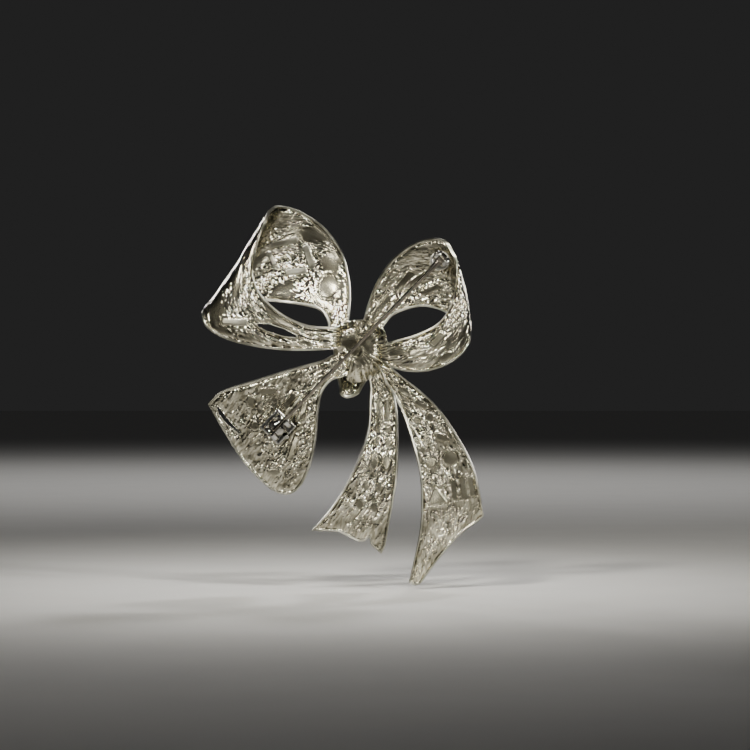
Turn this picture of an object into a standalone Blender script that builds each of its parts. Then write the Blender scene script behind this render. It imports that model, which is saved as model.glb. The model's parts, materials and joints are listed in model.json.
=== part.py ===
# Ribbon bow brooch with a hinged pin and a turning safety catch.
# The brooch stands upright as it is worn: +Z is up and +X is to the right, seen from its pinned back.
# -Y is the side against the garment, +Y is the jewelled front.
# The origin is on the flat rear face of the plate that holds the ribbons together.
import bpy
import bmesh
from math import cos, pi, radians, sin, sqrt
from mathutils import Matrix, Vector
from mathutils.bvhtree import BVHTree

MM = 0.001                      # every length below is in millimetres and is multiplied by this once

# Driving dimensions
RIBBON_THICKNESS = 1.1          # cast wall of every ribbon
KNOT_THICKNESS = 1.2
PLATE_THICKNESS = 1.2
GAP = 0.3                       # room between pieces that are soldered or set together
CELLS_PER_STATION = 3           # how finely a ribbon is divided between two of its stations
CELLS_ACROSS = 6

STEM_OFFSET = 4.8               # from the back plate to the middle of the stem
STEM_RADIUS = 0.38
STEM_PAST_CATCH = 3.0           # length of the point beyond the middle of the catch
STEM_TAPER = 6.0
HINGE_AT = (16.6, -STEM_OFFSET, 16.9)
CATCH_AT = (-14.4, -STEM_OFFSET, -14.9)

RIVET_RADIUS = 0.40
RIVET_HEAD_RADIUS = 0.75
RIVET_HEAD_DEPTH = 0.35
EYE_RADIUS = 1.05
EYE_HALF_WIDTH = 0.62
EAR_INNER = 0.75                # half of the room between the hinge's two ears
EAR_THICKNESS = 0.50
EAR_RADIUS = 1.05
RUNNING_CLEARANCE = 0.05        # a turning piece in its hole, on the radius
HEAD_CLEARANCE = 0.10           # along the axis

HINGE_DROP = 4.5                # from the stem's axis to the underside of the hinge's foot
HINGE_FOOT_RADIUS = 1.5
HINGE_FOOT_SHIFT = 0.4          # the foot sits a little towards the stem, clear of the ribbon's fold
CATCH_DROP = 5.3
CATCH_FOOT_RADIUS = 2.3
FOOT_THICKNESS = 0.7

ROLLER_RADIUS = 1.95
ROLLER_END_RADIUS = 1.35
ROLLER_HALF_LENGTH = 1.25
TRUNNION_RADIUS = 0.98
CHEEK_RADIUS = 1.75
CHEEK_INNER = 1.40              # half of the room between the catch's two cheeks
CHEEK_THICKNESS = 0.60
SLOT_HALF_WIDTH = 0.52          # way in for the stem, through cheeks and roller
TAB_ROOT = 1.2                  # thumb tab, from inside the barrel to its end, from the roller's axis
TAB_REACH = 3.1
TAB_RADIUS = 0.42

# Stones: how far each level of a cut stone stands from its girdle, and how wide it is there
GIRDLE_HEIGHT = 0.15
SHALLOWEST_CROWN = 0.35
DEEPEST_CROWN = 0.80
PAVILION_DEPTH = 0.45

# A ribbon is given by stations along it: one edge, the other edge, how far its middle bellies
# towards the front, and how far its middle is drawn sideways (x, z).
NO_DRAW = (0.0, 0.0)
UPPER_LEFT_LOOP = [
    ((-1.1, 2.2, 4.6), (-4.8, 2.2, 3.8), 0.2, NO_DRAW),
    ((-0.7, 3.2, 8.6), (-5.3, 2.8, 5.7), 0.4, NO_DRAW),
    ((-0.9, 4.6, 13.1), (-6.7, 3.4, 7.4), 0.8, NO_DRAW),
    ((-2.2, 5.6, 18.2), (-9.5, 3.9, 8.2), 1.1, NO_DRAW),
    ((-5.4, 6.0, 22.9), (-13.1, 4.2, 8.7), 1.3, NO_DRAW),
    ((-9.9, 5.5, 26.1), (-18.2, 4.0, 9.1), 1.2, NO_DRAW),
    ((-13.5, 4.0, 27.2), (-24.0, 3.0, 8.6), 0.8, (0.3, 0.0)),
    ((-15.6, 1.6, 26.7), (-28.1, 0.8, 7.4), 0.2, (0.6, 0.0)),
    ((-16.7, -0.6, 24.1), (-28.5, -1.2, 5.2), -0.4, (0.2, 0.0)),
    ((-18.3, -1.7, 19.6), (-26.9, -2.2, 3.1), -0.7, NO_DRAW),
    ((-19.3, -2.3, 14.4), (-23.2, -2.6, 1.4), -0.8, NO_DRAW),
    ((-17.5, -2.4, 9.9), (-18.6, -2.7, 0.3), -0.7, NO_DRAW),
    ((-13.5, -1.8, 6.3), (-13.5, -2.0, -0.3), -0.6, NO_DRAW),
    ((-8.9, -0.6, 4.3), (-8.7, -0.8, -0.4), -0.4, NO_DRAW),
    ((-4.4, 0.5, 4.0), (-4.1, 0.5, -0.2), 0.0, NO_DRAW),
]
UPPER_RIGHT_LOOP = [
    ((1.7, 2.2, 4.9), (4.9, 2.2, 3.2), 0.2, NO_DRAW),
    ((2.9, 2.3, 9.0), (7.2, 2.8, 6.1), 0.4, NO_DRAW),
    ((4.8, 2.1, 13.4), (9.9, 3.2, 7.4), 0.8, NO_DRAW),
    ((7.6, 1.8, 17.2), (12.9, 3.4, 8.0), 1.0, NO_DRAW),
    ((11.2, 1.3, 19.8), (15.6, 3.3, 7.6), 1.1, NO_DRAW),
    ((14.8, 0.8, 20.9), (18.1, 3.0, 6.5), 1.0, (0.2, 0.0)),
    ((17.2, 0.2, 20.5), (20.2, 2.4, 4.9), 0.7, (0.4, 0.0)),
    ((18.4, -0.6, 18.9), (21.8, 0.9, 3.2), 0.2, (0.7, 0.0)),
    ((19.3, -1.5, 16.0), (21.6, -0.8, 0.9), -0.3, (0.6, 0.0)),
    ((19.4, -1.9, 11.8), (20.2, -1.7, -1.2), -0.6, (0.3, 0.0)),
    ((18.6, -2.1, 8.2), (17.5, -2.1, -3.1), -0.7, NO_DRAW),
    ((16.3, -2.0, 4.8), (13.9, -2.0, -4.3), -0.6, NO_DRAW),
    ((12.5, -1.4, 2.7), (10.3, -1.4, -4.4), -0.5, NO_DRAW),
    ((8.8, -0.4, 1.6), (7.5, -0.4, -3.7), -0.3, NO_DRAW),
    ((5.6, 0.5, 0.8), (5.5, 0.5, -2.4), 0.0, NO_DRAW),
]
LOWER_LEFT_LOOP = [
    ((-3.1, 0.6, -0.9), (-1.8, 0.6, -5.3), 0.0, NO_DRAW),
    ((-6.1, 0.6, -2.3), (-4.4, 0.6, -6.3), 0.2, NO_DRAW),
    ((-9.7, 0.4, -3.3), (-6.1, 0.5, -8.6), 0.5, NO_DRAW),
    ((-13.9, 0.2, -4.5), (-6.8, 0.4, -12.2), 0.9, NO_DRAW),
    ((-18.6, 0.1, -6.0), (-7.1, 0.4, -16.5), 1.2, (-0.3, -0.3)),
    ((-23.2, 0.3, -7.4), (-8.0, 0.8, -21.5), 1.3, (-0.8, -0.7)),
    ((-26.0, 0.9, -8.7), (-9.7, 1.6, -25.6), 1.0, (-1.1, -1.5)),
    ((-27.4, 1.8, -10.5), (-12.3, 2.6, -28.1), 0.6, (-1.1, -2.8)),
]
SHORT_TAIL = [
    ((2.3, 2.8, -3.4), (5.7, 2.8, -3.8), 0.1, NO_DRAW),
    ((3.0, 2.7, -6.8), (7.4, 2.7, -7.8), 0.4, NO_DRAW),
    ((2.9, 2.3, -10.6), (8.2, 2.3, -11.8), 0.6, NO_DRAW),
    ((2.6, 1.6, -15.2), (8.4, 1.6, -16.0), 0.7, NO_DRAW),
    ((1.3, 1.0, -19.8), (8.4, 1.0, -20.3), 0.7, NO_DRAW),
    ((-0.8, 0.7, -24.5), (8.2, 0.7, -24.7), 0.7, NO_DRAW),
    ((-3.2, 0.7, -28.7), (7.6, 0.7, -28.7), 0.6, NO_DRAW),
    ((-6.2, 1.1, -32.6), (6.8, 1.1, -33.0), 0.4, NO_DRAW),
    ((-10.8, 1.8, -37.6), (5.4, 1.8, -40.6), 0.2, NO_DRAW),
]
LONG_TAIL = [
    ((5.0, 1.1, -3.7), (6.9, 1.1, -3.3), 0.0, NO_DRAW),
    ((5.9, 0.9, -6.1), (9.3, 0.9, -5.5), 0.1, NO_DRAW),
    ((7.8, 0.6, -9.3), (13.2, 0.6, -8.6), 0.3, NO_DRAW),
    ((9.7, 0.4, -13.7), (16.8, 0.4, -12.3), 0.6, NO_DRAW),
    ((11.3, 0.2, -18.8), (20.3, 0.2, -17.7), 0.8, NO_DRAW),
    ((12.5, 0.2, -23.9), (22.8, 0.4, -22.8), 0.9, NO_DRAW),
    ((12.8, 0.4, -29.3), (24.0, 0.8, -27.7), 0.8, NO_DRAW),
    ((12.4, 0.9, -35.5), (24.4, 1.2, -30.2), 0.6, NO_DRAW),
    ((9.9, 1.5, -47.0), (25.1, 1.8, -34.5), 0.2, NO_DRAW),
]
# The knot is a short wide band from behind its top, over the front, to the tab below it.
CENTRE_KNOT = [
    ((-1.6, 4.4, 4.7), (2.6, 4.4, 4.7), 0.2, NO_DRAW),
    ((-3.3, 5.8, 4.2), (4.2, 5.8, 3.8), 0.6, NO_DRAW),
    ((-4.0, 6.6, 2.0), (5.1, 6.6, 1.6), 1.1, NO_DRAW),
    ((-3.9, 6.7, -0.9), (5.3, 6.7, -1.2), 1.3, NO_DRAW),
    ((-3.4, 6.1, -4.0), (4.0, 6.1, -4.2), 1.0, NO_DRAW),
    ((-3.0, 4.4, -6.6), (2.2, 4.4, -6.4), 0.5, NO_DRAW),
    ((-2.6, 3.0, -8.5), (0.9, 3.0, -8.6), 0.1, (-0.5, -0.9)),
]
BACK_PLATE = [(-3.5, 3.4), (-0.9, 4.9), (2.3, 5.0), (4.7, 3.5), (5.0, 0.6), (4.8, -2.2), (3.8, -3.6),
              (1.5, -4.8), (-0.8, -4.7), (-2.1, -1.6), (-3.4, 0.2)]

# Cut-outs as flat outlines (x, z), each with the depth that it starts and ends at (y)
UPPER_SLIT = ([(-18.1, 4.6), (-16.0, 4.5), (-13.1, 3.5), (-10.9, 2.4), (-10.9, 2.0), (-13.5, 2.3),
               (-16.3, 3.2), (-18.1, 4.1)], (-5.0, 0.0))
LOWER_SLIT = ([(-26.4, -10.6), (-25.4, -11.2), (-23.6, -13.9), (-21.6, -16.0), (-21.9, -16.4),
               (-24.2, -14.9), (-25.8, -12.9)], (-3.0, 6.0))
SHORT_TAIL_END = ([(-9.0, -34.3), (-8.0, -34.6), (-4.6, -34.8), (-2.9, -34.9), (-1.5, -35.6), (0.9, -36.9),
                   (2.0, -36.8), (2.9, -35.9), (3.3, -37.4), (5.3, -39.3), (6.2, -37.0), (8.5, -36.0),
                   (8.5, -46.0), (-14.0, -46.0), (-14.0, -35.0)], (-3.0, 8.0))
LONG_TAIL_END = ([(8.0, -44.5), (10.7, -44.8), (11.1, -45.3), (11.9, -45.4), (12.8, -44.9), (14.6, -42.2),
                  (16.3, -40.0), (18.0, -37.9), (19.9, -35.8), (21.7, -34.4), (23.4, -33.2), (24.6, -32.1),
                  (24.9, -31.2), (28.0, -31.0), (28.0, -52.0), (8.0, -52.0)], (-3.0, 8.0))

# Stones on each ribbon: cut, middle (x, z), turn of the long side in degrees, length and width
STONES = {
    "upper_left_loop": [
        ("baguette", -13.7, 20.5, 11, 5.8, 1.5),
        ("baguette", -16.1, 17.3, -63, 3.2, 1.3),
        ("baguette", -11.2, 14.7, 8, 4.4, 1.4),
        ("baguette", -8.7, 17.7, -72, 4.8, 1.6),
        ("oval", -5.0, 11.6, 80, 5.2, 4.0),
        ("baguette", -22.4, 5.0, -2, 4.9, 1.4),
    ],
    "upper_right_loop": [
        ("baguette", 9.4, 13.0, 50, 4.6, 1.6),
        ("baguette", 12.0, 13.4, 32, 3.6, 1.3),
        ("baguette", 4.9, 8.1, 51, 5.4, 1.6),
        ("baguette", 14.7, 11.4, 22, 4.1, 1.4),
        ("oval", 17.2, -1.4, 35, 3.0, 1.6),
        ("baguette", 16.0, 1.5, 49, 3.5, 1.6),
        ("baguette", 8.6, -0.9, 3, 3.2, 1.5),
        ("baguette", 12.3, -0.9, 0, 3.4, 1.5),
    ],
    "lower_left_loop": [
        ("oval", -19.6, -10.0, -82, 2.7, 1.8),
        ("baguette", -16.4, -8.0, 0, 3.0, 1.6),
        ("round", -18.8, -14.6, 0, 2.0, 2.0),
        ("baguette", -9.5, -12.2, -101, 3.9, 1.3),
        ("baguette", -11.3, -18.8, -108, 5.4, 1.4),
        ("baguette", -12.3, -10.0, 51, 3.6, 1.4),
        ("oval", -15.1, -23.4, -4, 2.9, 1.8),
    ],
    "short_tail": [
        ("baguette", 4.7, -11.6, -90, 4.6, 1.2),
        ("baguette", 6.6, -11.9, -90, 4.6, 1.2),
        ("round", 4.4, -15.4, 0, 1.5, 1.5),
        ("round", 6.8, -15.6, 0, 1.5, 1.5),
        ("oval", 4.0, -17.9, -90, 1.9, 1.5),
        ("oval", 6.7, -18.2, -90, 1.9, 1.5),
        ("marquise", 3.8, -21.6, -90, 3.8, 1.8),
        ("marquise", 6.4, -21.9, -90, 3.8, 1.8),
        ("oval", 2.3, -26.1, -90, 2.3, 1.6),
        ("oval", 4.9, -26.4, -90, 2.3, 1.6),
        ("oval", 1.1, -29.6, -90, 2.3, 1.6),
        ("oval", 4.0, -30.2, -90, 2.3, 1.6),
    ],
    "long_tail": [
        ("oval", 9.6, -8.3, -35, 3.0, 1.8),
        ("baguette", 12.8, -10.6, -30, 2.7, 1.2),
        ("round", 14.5, -13.0, 0, 2.0, 2.0),
        ("oval", 11.9, -13.8, -27, 2.2, 1.5),
        ("oval", 13.5, -17.6, -90, 3.0, 1.6),
        ("oval", 16.9, -16.9, -16, 3.0, 1.7),
        ("round", 14.5, -21.7, 0, 2.4, 2.4),
        ("round", 18.4, -20.8, 0, 3.2, 3.2),
        ("baguette", 19.1, -26.9, -84, 4.2, 1.2),
        ("baguette", 20.9, -26.5, -82, 4.6, 1.2),
        ("baguette", 22.6, -26.1, -80, 4.2, 1.2),
        ("triangle", 15.6, -28.4, -51, 4.8, 4.8),
    ],
}


def start_empty():
    for thing in list(bpy.data.objects):
        bpy.data.objects.remove(thing)


def new_collection(name):
    collection = bpy.data.collections.new(name)
    bpy.context.scene.collection.children.link(collection)
    return collection


def finish(name, colour, metallic, roughness, transmission=0.0):
    material = bpy.data.materials.new(name)
    material.use_nodes = True
    shader = material.node_tree.nodes["Principled BSDF"]
    shader.inputs["Base Color"].default_value = (*colour, 1.0)
    shader.inputs["Metallic"].default_value = metallic
    shader.inputs["Roughness"].default_value = roughness
    shader.inputs["Transmission Weight"].default_value = transmission
    return material


start_empty()
parts = new_collection("ribbon_bow_brooch")
cutters = new_collection("cutters")


# Finishes
plated = finish("plated_metal", (0.78, 0.77, 0.73), 1.0, 0.28)
plate_metal = finish("plate_metal", (0.62, 0.62, 0.59), 1.0, 0.38)
finding_steel = finish("finding_steel", (0.70, 0.70, 0.69), 1.0, 0.20)
crystal = finish("crystal", (0.93, 0.95, 0.97), 0.0, 0.03, 0.9)


def add_part(name, mesh, material, place=Matrix.Identity(4)):
    mesh.name = name
    mesh.materials.append(material)
    part = bpy.data.objects.new(name, mesh)
    part.matrix_world = place
    parts.objects.link(part)
    return part


def add_cutter(name, mesh, place=Matrix.Identity(4)):
    cutter = bpy.data.objects.new(name, mesh)
    cutter.matrix_world = place
    cutter.hide_render = True
    cutter.display_type = "WIRE"
    cutters.objects.link(cutter)
    return cutter


def combine(part, tool, operation):
    modifier = part.modifiers.new(tool.name, "BOOLEAN")
    modifier.operation = operation
    modifier.object = tool
    modifier.solver = "EXACT"


def mesh_from(bm, name):
    mesh = bpy.data.meshes.new(name)
    bm.to_mesh(mesh)
    bm.free()
    return mesh


def rod_mesh(name, radius, start, end, sides=24):
    """A cylinder between two points."""
    start = Vector(start) * MM
    end = Vector(end) * MM
    along = end - start
    turn = along.to_track_quat("Z", "Y").to_matrix().to_4x4()
    place = Matrix.Translation((start + end) / 2) @ turn
    bm = bmesh.new()
    bmesh.ops.create_cone(bm, cap_ends=True, segments=sides, radius1=radius * MM, radius2=radius * MM,
                          depth=along.length, matrix=place)
    return mesh_from(bm, name)


def box_mesh(name, low, high):
    low = Vector(low) * MM
    high = Vector(high) * MM
    size = high - low
    bm = bmesh.new()
    place = Matrix.Translation((low + high) / 2) @ Matrix.Diagonal((*size, 1.0))
    bmesh.ops.create_cube(bm, size=1.0, matrix=place)
    return mesh_from(bm, name)


def flat_mesh(name, outline, thickness):
    """A flat sheet with the given outline in X and Y, centred on Z = 0."""
    curve = bpy.data.curves.new(name, "CURVE")
    curve.dimensions = "2D"
    curve.fill_mode = "BOTH"
    curve.extrude = thickness * MM / 2
    spline = curve.splines.new("POLY")
    spline.points.add(len(outline) - 1)
    for point, (x, y) in zip(spline.points, outline):
        point.co = (x * MM, y * MM, 0.0, 1.0)
    spline.use_cyclic_u = True
    holder = bpy.data.objects.new(name, curve)
    cutters.objects.link(holder)
    evaluated = holder.evaluated_get(bpy.context.evaluated_depsgraph_get())
    mesh = bpy.data.meshes.new_from_object(evaluated)
    bpy.data.objects.remove(holder)
    bm = bmesh.new()
    bm.from_mesh(mesh)
    bmesh.ops.remove_doubles(bm, verts=bm.verts, dist=0.001 * MM)
    bmesh.ops.recalc_face_normals(bm, faces=bm.faces)
    bm.to_mesh(mesh)
    bm.free()
    return mesh


def smooth_value(values, place):
    """Point at a place, counted in values, on the smooth curve that runs through the values."""
    last = len(values) - 1
    index = min(int(place), last - 1)
    t = place - index
    before = values[max(index - 1, 0)]
    start = values[index]
    end = values[index + 1]
    after = values[min(index + 2, last)]
    return 0.5 * (2 * start + (end - before) * t + (2 * before - 5 * start + 4 * end - after) * t * t
                  + (3 * start - before - 3 * end + after) * t * t * t)


def smooth_outline(corners, steps):
    """Closed smooth outline through the corners."""
    looped = [Vector(corner) for corner in corners[-1:] + corners + corners[:2]]
    count = len(corners) * steps
    return [smooth_value(looped, 1 + step / steps) for step in range(count)]


def ribbon(name, stations, thickness):
    """A sheet laid over the stations and given its wall."""
    one_edge = [Vector(station[0]) for station in stations]
    other_edge = [Vector(station[1]) for station in stations]
    draw = [Vector((station[3][0], station[2], station[3][1])) for station in stations]
    spans = len(stations) - 1
    bm = bmesh.new()
    bmesh.ops.create_grid(bm, x_segments=spans * CELLS_PER_STATION, y_segments=CELLS_ACROSS, size=0.5)
    for vert in bm.verts:
        place = (vert.co.x + 0.5) * spans
        share = vert.co.y + 0.5
        crown = 1 - (2 * share - 1) ** 2
        start = smooth_value(one_edge, place)
        end = smooth_value(other_edge, place)
        vert.co = (start.lerp(end, share) + smooth_value(draw, place) * crown) * MM
    part = add_part(name, mesh_from(bm, name), plated)
    wall = part.modifiers.new("wall", "SOLIDIFY")
    wall.thickness = thickness * MM
    wall.offset = 0.0
    wall.use_even_offset = True
    return part


def cut_through(part, name, outline, depths):
    """Cuts a flat outline (x, z) through a part, between two depths (y)."""
    near, far = depths
    # the sheet is made in X and Y, then stood up so that its Y is the brooch's Z
    stand_up = Matrix.Translation((0, (near + far) / 2 * MM, 0)) @ Matrix.Rotation(radians(90), 4, "X")
    combine(part, add_cutter(name, flat_mesh(name, outline, far - near), stand_up), "DIFFERENCE")


def turned(name, profile, steps, place):
    """A turned piece: its profile (radius, height) runs from the top down, and spins about Z."""
    bm = bmesh.new()
    points = [bm.verts.new((radius * MM, 0.0, height * MM)) for radius, height in profile]
    for upper, lower in zip(points, points[1:]):
        bm.edges.new((upper, lower))
    part = add_part(name, mesh_from(bm, name), finding_steel, place)
    spin = part.modifiers.new("spin", "SCREW")
    spin.axis = "Z"
    spin.steps = steps
    spin.render_steps = steps
    spin.use_merge_vertices = True
    spin.merge_threshold = 0.00001
    return part


# Ribbons, knot and plate
ribbons = {}
for name, stations in (("upper_left_loop", UPPER_LEFT_LOOP), ("upper_right_loop", UPPER_RIGHT_LOOP),
                       ("lower_left_loop", LOWER_LEFT_LOOP), ("short_tail", SHORT_TAIL),
                       ("long_tail", LONG_TAIL)):
    ribbons[name] = ribbon(name, stations, RIBBON_THICKNESS)

ribbon("centre_knot", CENTRE_KNOT, KNOT_THICKNESS)

stood_up = Matrix.Translation((0, PLATE_THICKNESS / 2 * MM, 0)) @ Matrix.Rotation(radians(90), 4, "X")
add_part("back_plate", flat_mesh("back_plate", smooth_outline(BACK_PLATE, 3), PLATE_THICKNESS), plate_metal,
         stood_up)

# The ribbons' front surfaces, which the stones are set on
depsgraph = bpy.context.evaluated_depsgraph_get()
surfaces = {}
for ribbon_name, part in ribbons.items():
    surface = bmesh.new()
    surface.from_object(part, depsgraph)
    surfaces[ribbon_name] = BVHTree.FromBMesh(surface)
    surface.free()

cut_through(ribbons["upper_left_loop"], "upper_slit", *UPPER_SLIT)
cut_through(ribbons["lower_left_loop"], "lower_slit", *LOWER_SLIT)
cut_through(ribbons["short_tail"], "short_tail_end", *SHORT_TAIL_END)
cut_through(ribbons["long_tail"], "long_tail_end", *LONG_TAIL_END)


def girdle(cut, length, width):
    """Outline of a stone seen from above, as points (x, y) about its middle."""
    half_long = length / 2
    half_wide = width / 2
    if cut == "baguette":
        trim = 0.25 * half_wide
        flat_long = half_long - trim
        flat_wide = half_wide - trim
        return [(half_long, flat_wide), (flat_long, half_wide), (-flat_long, half_wide),
                (-half_long, flat_wide), (-half_long, -flat_wide), (-flat_long, -half_wide),
                (flat_long, -half_wide), (half_long, -flat_wide)]
    if cut == "triangle":
        corners = [Vector((cos(radians(turn)), sin(radians(turn)))) for turn in (90, 210, 330)]
        outline = []
        for corner, following in zip(corners, corners[1:] + corners[:1]):
            for share in (0.06, 0.35, 0.65, 0.94):
                outline.append(corner.lerp(following, share) * (1 + 0.35 * share * (1 - share)) * half_long)
        return outline
    if cut == "marquise":
        # two equal arcs that meet in a point at each end, through points at even steps along the length
        arc_radius = (half_long ** 2 + half_wide ** 2) / (2 * half_wide)
        outline = []
        for side in (1, -1):
            for share in (1.0, 0.66, 0.33, 0.0, -0.33, -0.66):
                along = side * share * half_long * 0.98
                rise = sqrt(arc_radius ** 2 - along ** 2) - arc_radius + half_wide
                outline.append((along, side * rise))
        return outline
    turns = [radians(15 + 30 * index) for index in range(12)]
    return [(half_long * cos(turn), half_wide * sin(turn)) for turn in turns]


def stone_mesh(name, cut, length, width):
    """A faceted stone: rings of points at its levels, wrapped in their hull."""
    outline = [Vector(point) for point in girdle(cut, length, width)]
    halfway = [(point + following) / 2 for point, following in zip(outline, outline[1:] + outline[:1])]
    crown = min(max(0.28 * width, SHALLOWEST_CROWN), DEEPEST_CROWN)
    stepped = cut == "baguette"
    middle_ring = outline if stepped else halfway
    levels = [(-PAVILION_DEPTH, 0.35, outline), (0.0, 1.0, outline), (GIRDLE_HEIGHT, 1.0, outline),
              (GIRDLE_HEIGHT + 0.6 * crown, 0.86, middle_ring), (GIRDLE_HEIGHT + crown, 0.60, outline)]
    bm = bmesh.new()
    for height, scale, ring in levels:
        inset = (1 - scale) * width / 2
        for point in ring:
            # a step cut keeps the same margin at its ends as along its sides
            scale_long = 1 - 2 * inset / length if stepped else scale
            bm.verts.new((scale_long * point.x * MM, scale * point.y * MM, height * MM))
    result = bmesh.ops.convex_hull(bm, input=bm.verts)
    unused = [item for item in result["geom_interior"] if isinstance(item, bmesh.types.BMVert)]
    bmesh.ops.delete(bm, geom=unused, context="VERTS")
    bmesh.ops.recalc_face_normals(bm, faces=bm.faces)
    return mesh_from(bm, name)


def set_stone(name, surface, stone):
    """Seats a stone on the front of a ribbon, as low as its gap to the metal allows."""
    cut, x, z, turn, length, width = stone
    mesh = stone_mesh(name, cut, length, width)
    above = Vector((x, 30.0, z)) * MM
    spot, out, _, _ = surface.ray_cast(above, Vector((0, -1, 0)))
    long_side = Vector((cos(radians(turn)), 0, sin(radians(turn))))
    long_side = (long_side - out * long_side.dot(out)).normalized()
    axes = Matrix((long_side, out.cross(long_side), out)).transposed().to_4x4()
    lift = PAVILION_DEPTH + GAP
    clear = False
    while not clear:
        place = Matrix.Translation(spot + out * lift * MM) @ axes
        nearest = min(surface.find_nearest(place @ vert.co)[3] for vert in mesh.vertices)
        clear = nearest >= GAP * MM
        lift += 0.05
    add_part(name, mesh, crystal, place)


for ribbon_name, stones in STONES.items():
    counts = {}
    for stone in stones:
        counts[stone[0]] = counts.get(stone[0], 0) + 1
        set_stone(f"{ribbon_name}_{stone[0]}_{counts[stone[0]]}", surfaces[ribbon_name], stone)

# The pin's own frame: X along the closed stem from the hinge to the catch, Z out from the brooch's back
hinge_point = Vector(HINGE_AT)
catch_point = Vector(CATCH_AT)
stem_way = (catch_point - hinge_point).normalized()
out_way = Vector((0, -1, 0))
side_way = out_way.cross(stem_way)
pin_axes = Matrix((stem_way, side_way, out_way)).transposed().to_4x4()
hinge_place = Matrix.Translation(hinge_point * MM) @ pin_axes
catch_place = Matrix.Translation(catch_point * MM) @ pin_axes
stem_length = (catch_point - hinge_point).length + STEM_PAST_CATCH


def arch_outline(radius, drop):
    """A round top about the origin on straight legs that reach down by the drop."""
    steps = 10
    top = [(radius * cos(pi * step / steps), radius * sin(pi * step / steps)) for step in range(steps + 1)]
    return top + [(-radius, -drop), (radius, -drop)]


def foot(name, radius, drop, shift, place):
    """A round foot under a finding, its underside lower than the stem's axis by the drop."""
    mesh = rod_mesh(name, radius, (shift, 0, -drop), (shift, 0, FOOT_THICKNESS - drop))
    return add_part(name, mesh, finding_steel, place)


# Hinge: foot with two ears
hinge_base = foot("hinge_base", HINGE_FOOT_RADIUS, HINGE_DROP, HINGE_FOOT_SHIFT, hinge_place)
ear_drop = HINGE_DROP - FOOT_THICKNESS / 2
# an ear lies across Y, so the sheet's X stays and its Y becomes Z
upright = Matrix.Rotation(radians(90), 4, "X")
for side in (1, -1):
    ear_place = Matrix.Translation((0, side * (EAR_INNER + EAR_THICKNESS / 2) * MM, 0)) @ upright
    ear = add_cutter("hinge_ear", flat_mesh("hinge_ear", arch_outline(EAR_RADIUS, ear_drop), EAR_THICKNESS),
                     hinge_place @ ear_place)
    combine(hinge_base, ear, "UNION")
ear_outer = EAR_INNER + EAR_THICKNESS
ear_hole = rod_mesh("ear_hole", RIVET_RADIUS + RUNNING_CLEARANCE, (0, -2 * ear_outer, 0),
                    (0, 2 * ear_outer, 0))
combine(hinge_base, add_cutter("ear_hole", ear_hole, hinge_place), "DIFFERENCE")

# Rivet: a shank with a head at each end, turned about the hinge's axis
head_start = ear_outer + HEAD_CLEARANCE
rivet_half = head_start + RIVET_HEAD_DEPTH
rivet_profile = [(0.0, rivet_half), (0.6 * RIVET_HEAD_RADIUS, rivet_half),
                 (RIVET_HEAD_RADIUS, head_start + RIVET_HEAD_DEPTH / 3), (RIVET_HEAD_RADIUS, head_start),
                 (RIVET_RADIUS, head_start)]
rivet_profile += [(radius, -height) for radius, height in reversed(rivet_profile)]
# the profile's Z is laid along the hinge's axis
lay_across = Matrix.Rotation(radians(-90), 4, "X")
turned("hinge_rivet", rivet_profile, 24, hinge_place @ lay_across)

# Pin: a turned stem with an eye round the rivet; its profile's Z is laid along the stem
lay_along = Matrix.Rotation(radians(90), 4, "Y")
stem_profile = [(0.0, stem_length), (0.10, stem_length - 0.15), (STEM_RADIUS, stem_length - STEM_TAPER),
                (STEM_RADIUS, EYE_RADIUS - 0.3), (0.0, EYE_RADIUS - 0.3)]
pin_stem = turned("pin_stem", stem_profile, 20, hinge_place @ lay_along)
eye = rod_mesh("eye", EYE_RADIUS, (0, -EYE_HALF_WIDTH, 0), (0, EYE_HALF_WIDTH, 0))
combine(pin_stem, add_cutter("eye", eye, hinge_place), "UNION")
eye_hole = rod_mesh("eye_hole", RIVET_RADIUS + RUNNING_CLEARANCE, (0, -2 * EYE_HALF_WIDTH, 0),
                    (0, 2 * EYE_HALF_WIDTH, 0))
combine(pin_stem, add_cutter("eye_hole", eye_hole, hinge_place), "DIFFERENCE")

# Catch: foot with two cheeks, each with a round seat for the roller and a way in for the stem
catch_base = foot("catch_base", CATCH_FOOT_RADIUS, CATCH_DROP, 0, catch_place)
cheek_drop = CATCH_DROP - FOOT_THICKNESS / 2
for side in (1, -1):
    # a cheek lies across X: the sheet's X becomes Y and its Y becomes Z
    stand = Matrix((Vector((0, 0, 1)), Vector((1, 0, 0)), Vector((0, 1, 0)))).to_4x4()
    cheek_place = Matrix.Translation((side * (CHEEK_INNER + CHEEK_THICKNESS / 2) * MM, 0, 0)) @ stand
    cheek = add_cutter("catch_cheek", flat_mesh("catch_cheek", arch_outline(CHEEK_RADIUS, cheek_drop),
                                                CHEEK_THICKNESS), catch_place @ cheek_place)
    combine(catch_base, cheek, "UNION")
cheek_outer = CHEEK_INNER + CHEEK_THICKNESS
seat = rod_mesh("roller_seat", TRUNNION_RADIUS + RUNNING_CLEARANCE, (-2 * cheek_outer, 0, 0),
                (2 * cheek_outer, 0, 0))
combine(catch_base, add_cutter("roller_seat", seat, catch_place), "DIFFERENCE")
way_in = box_mesh("way_in", (-2 * cheek_outer, -SLOT_HALF_WIDTH, 0),
                  (2 * cheek_outer, SLOT_HALF_WIDTH, 2 * ROLLER_RADIUS))
combine(catch_base, add_cutter("way_in", way_in, catch_place), "DIFFERENCE")

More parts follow.
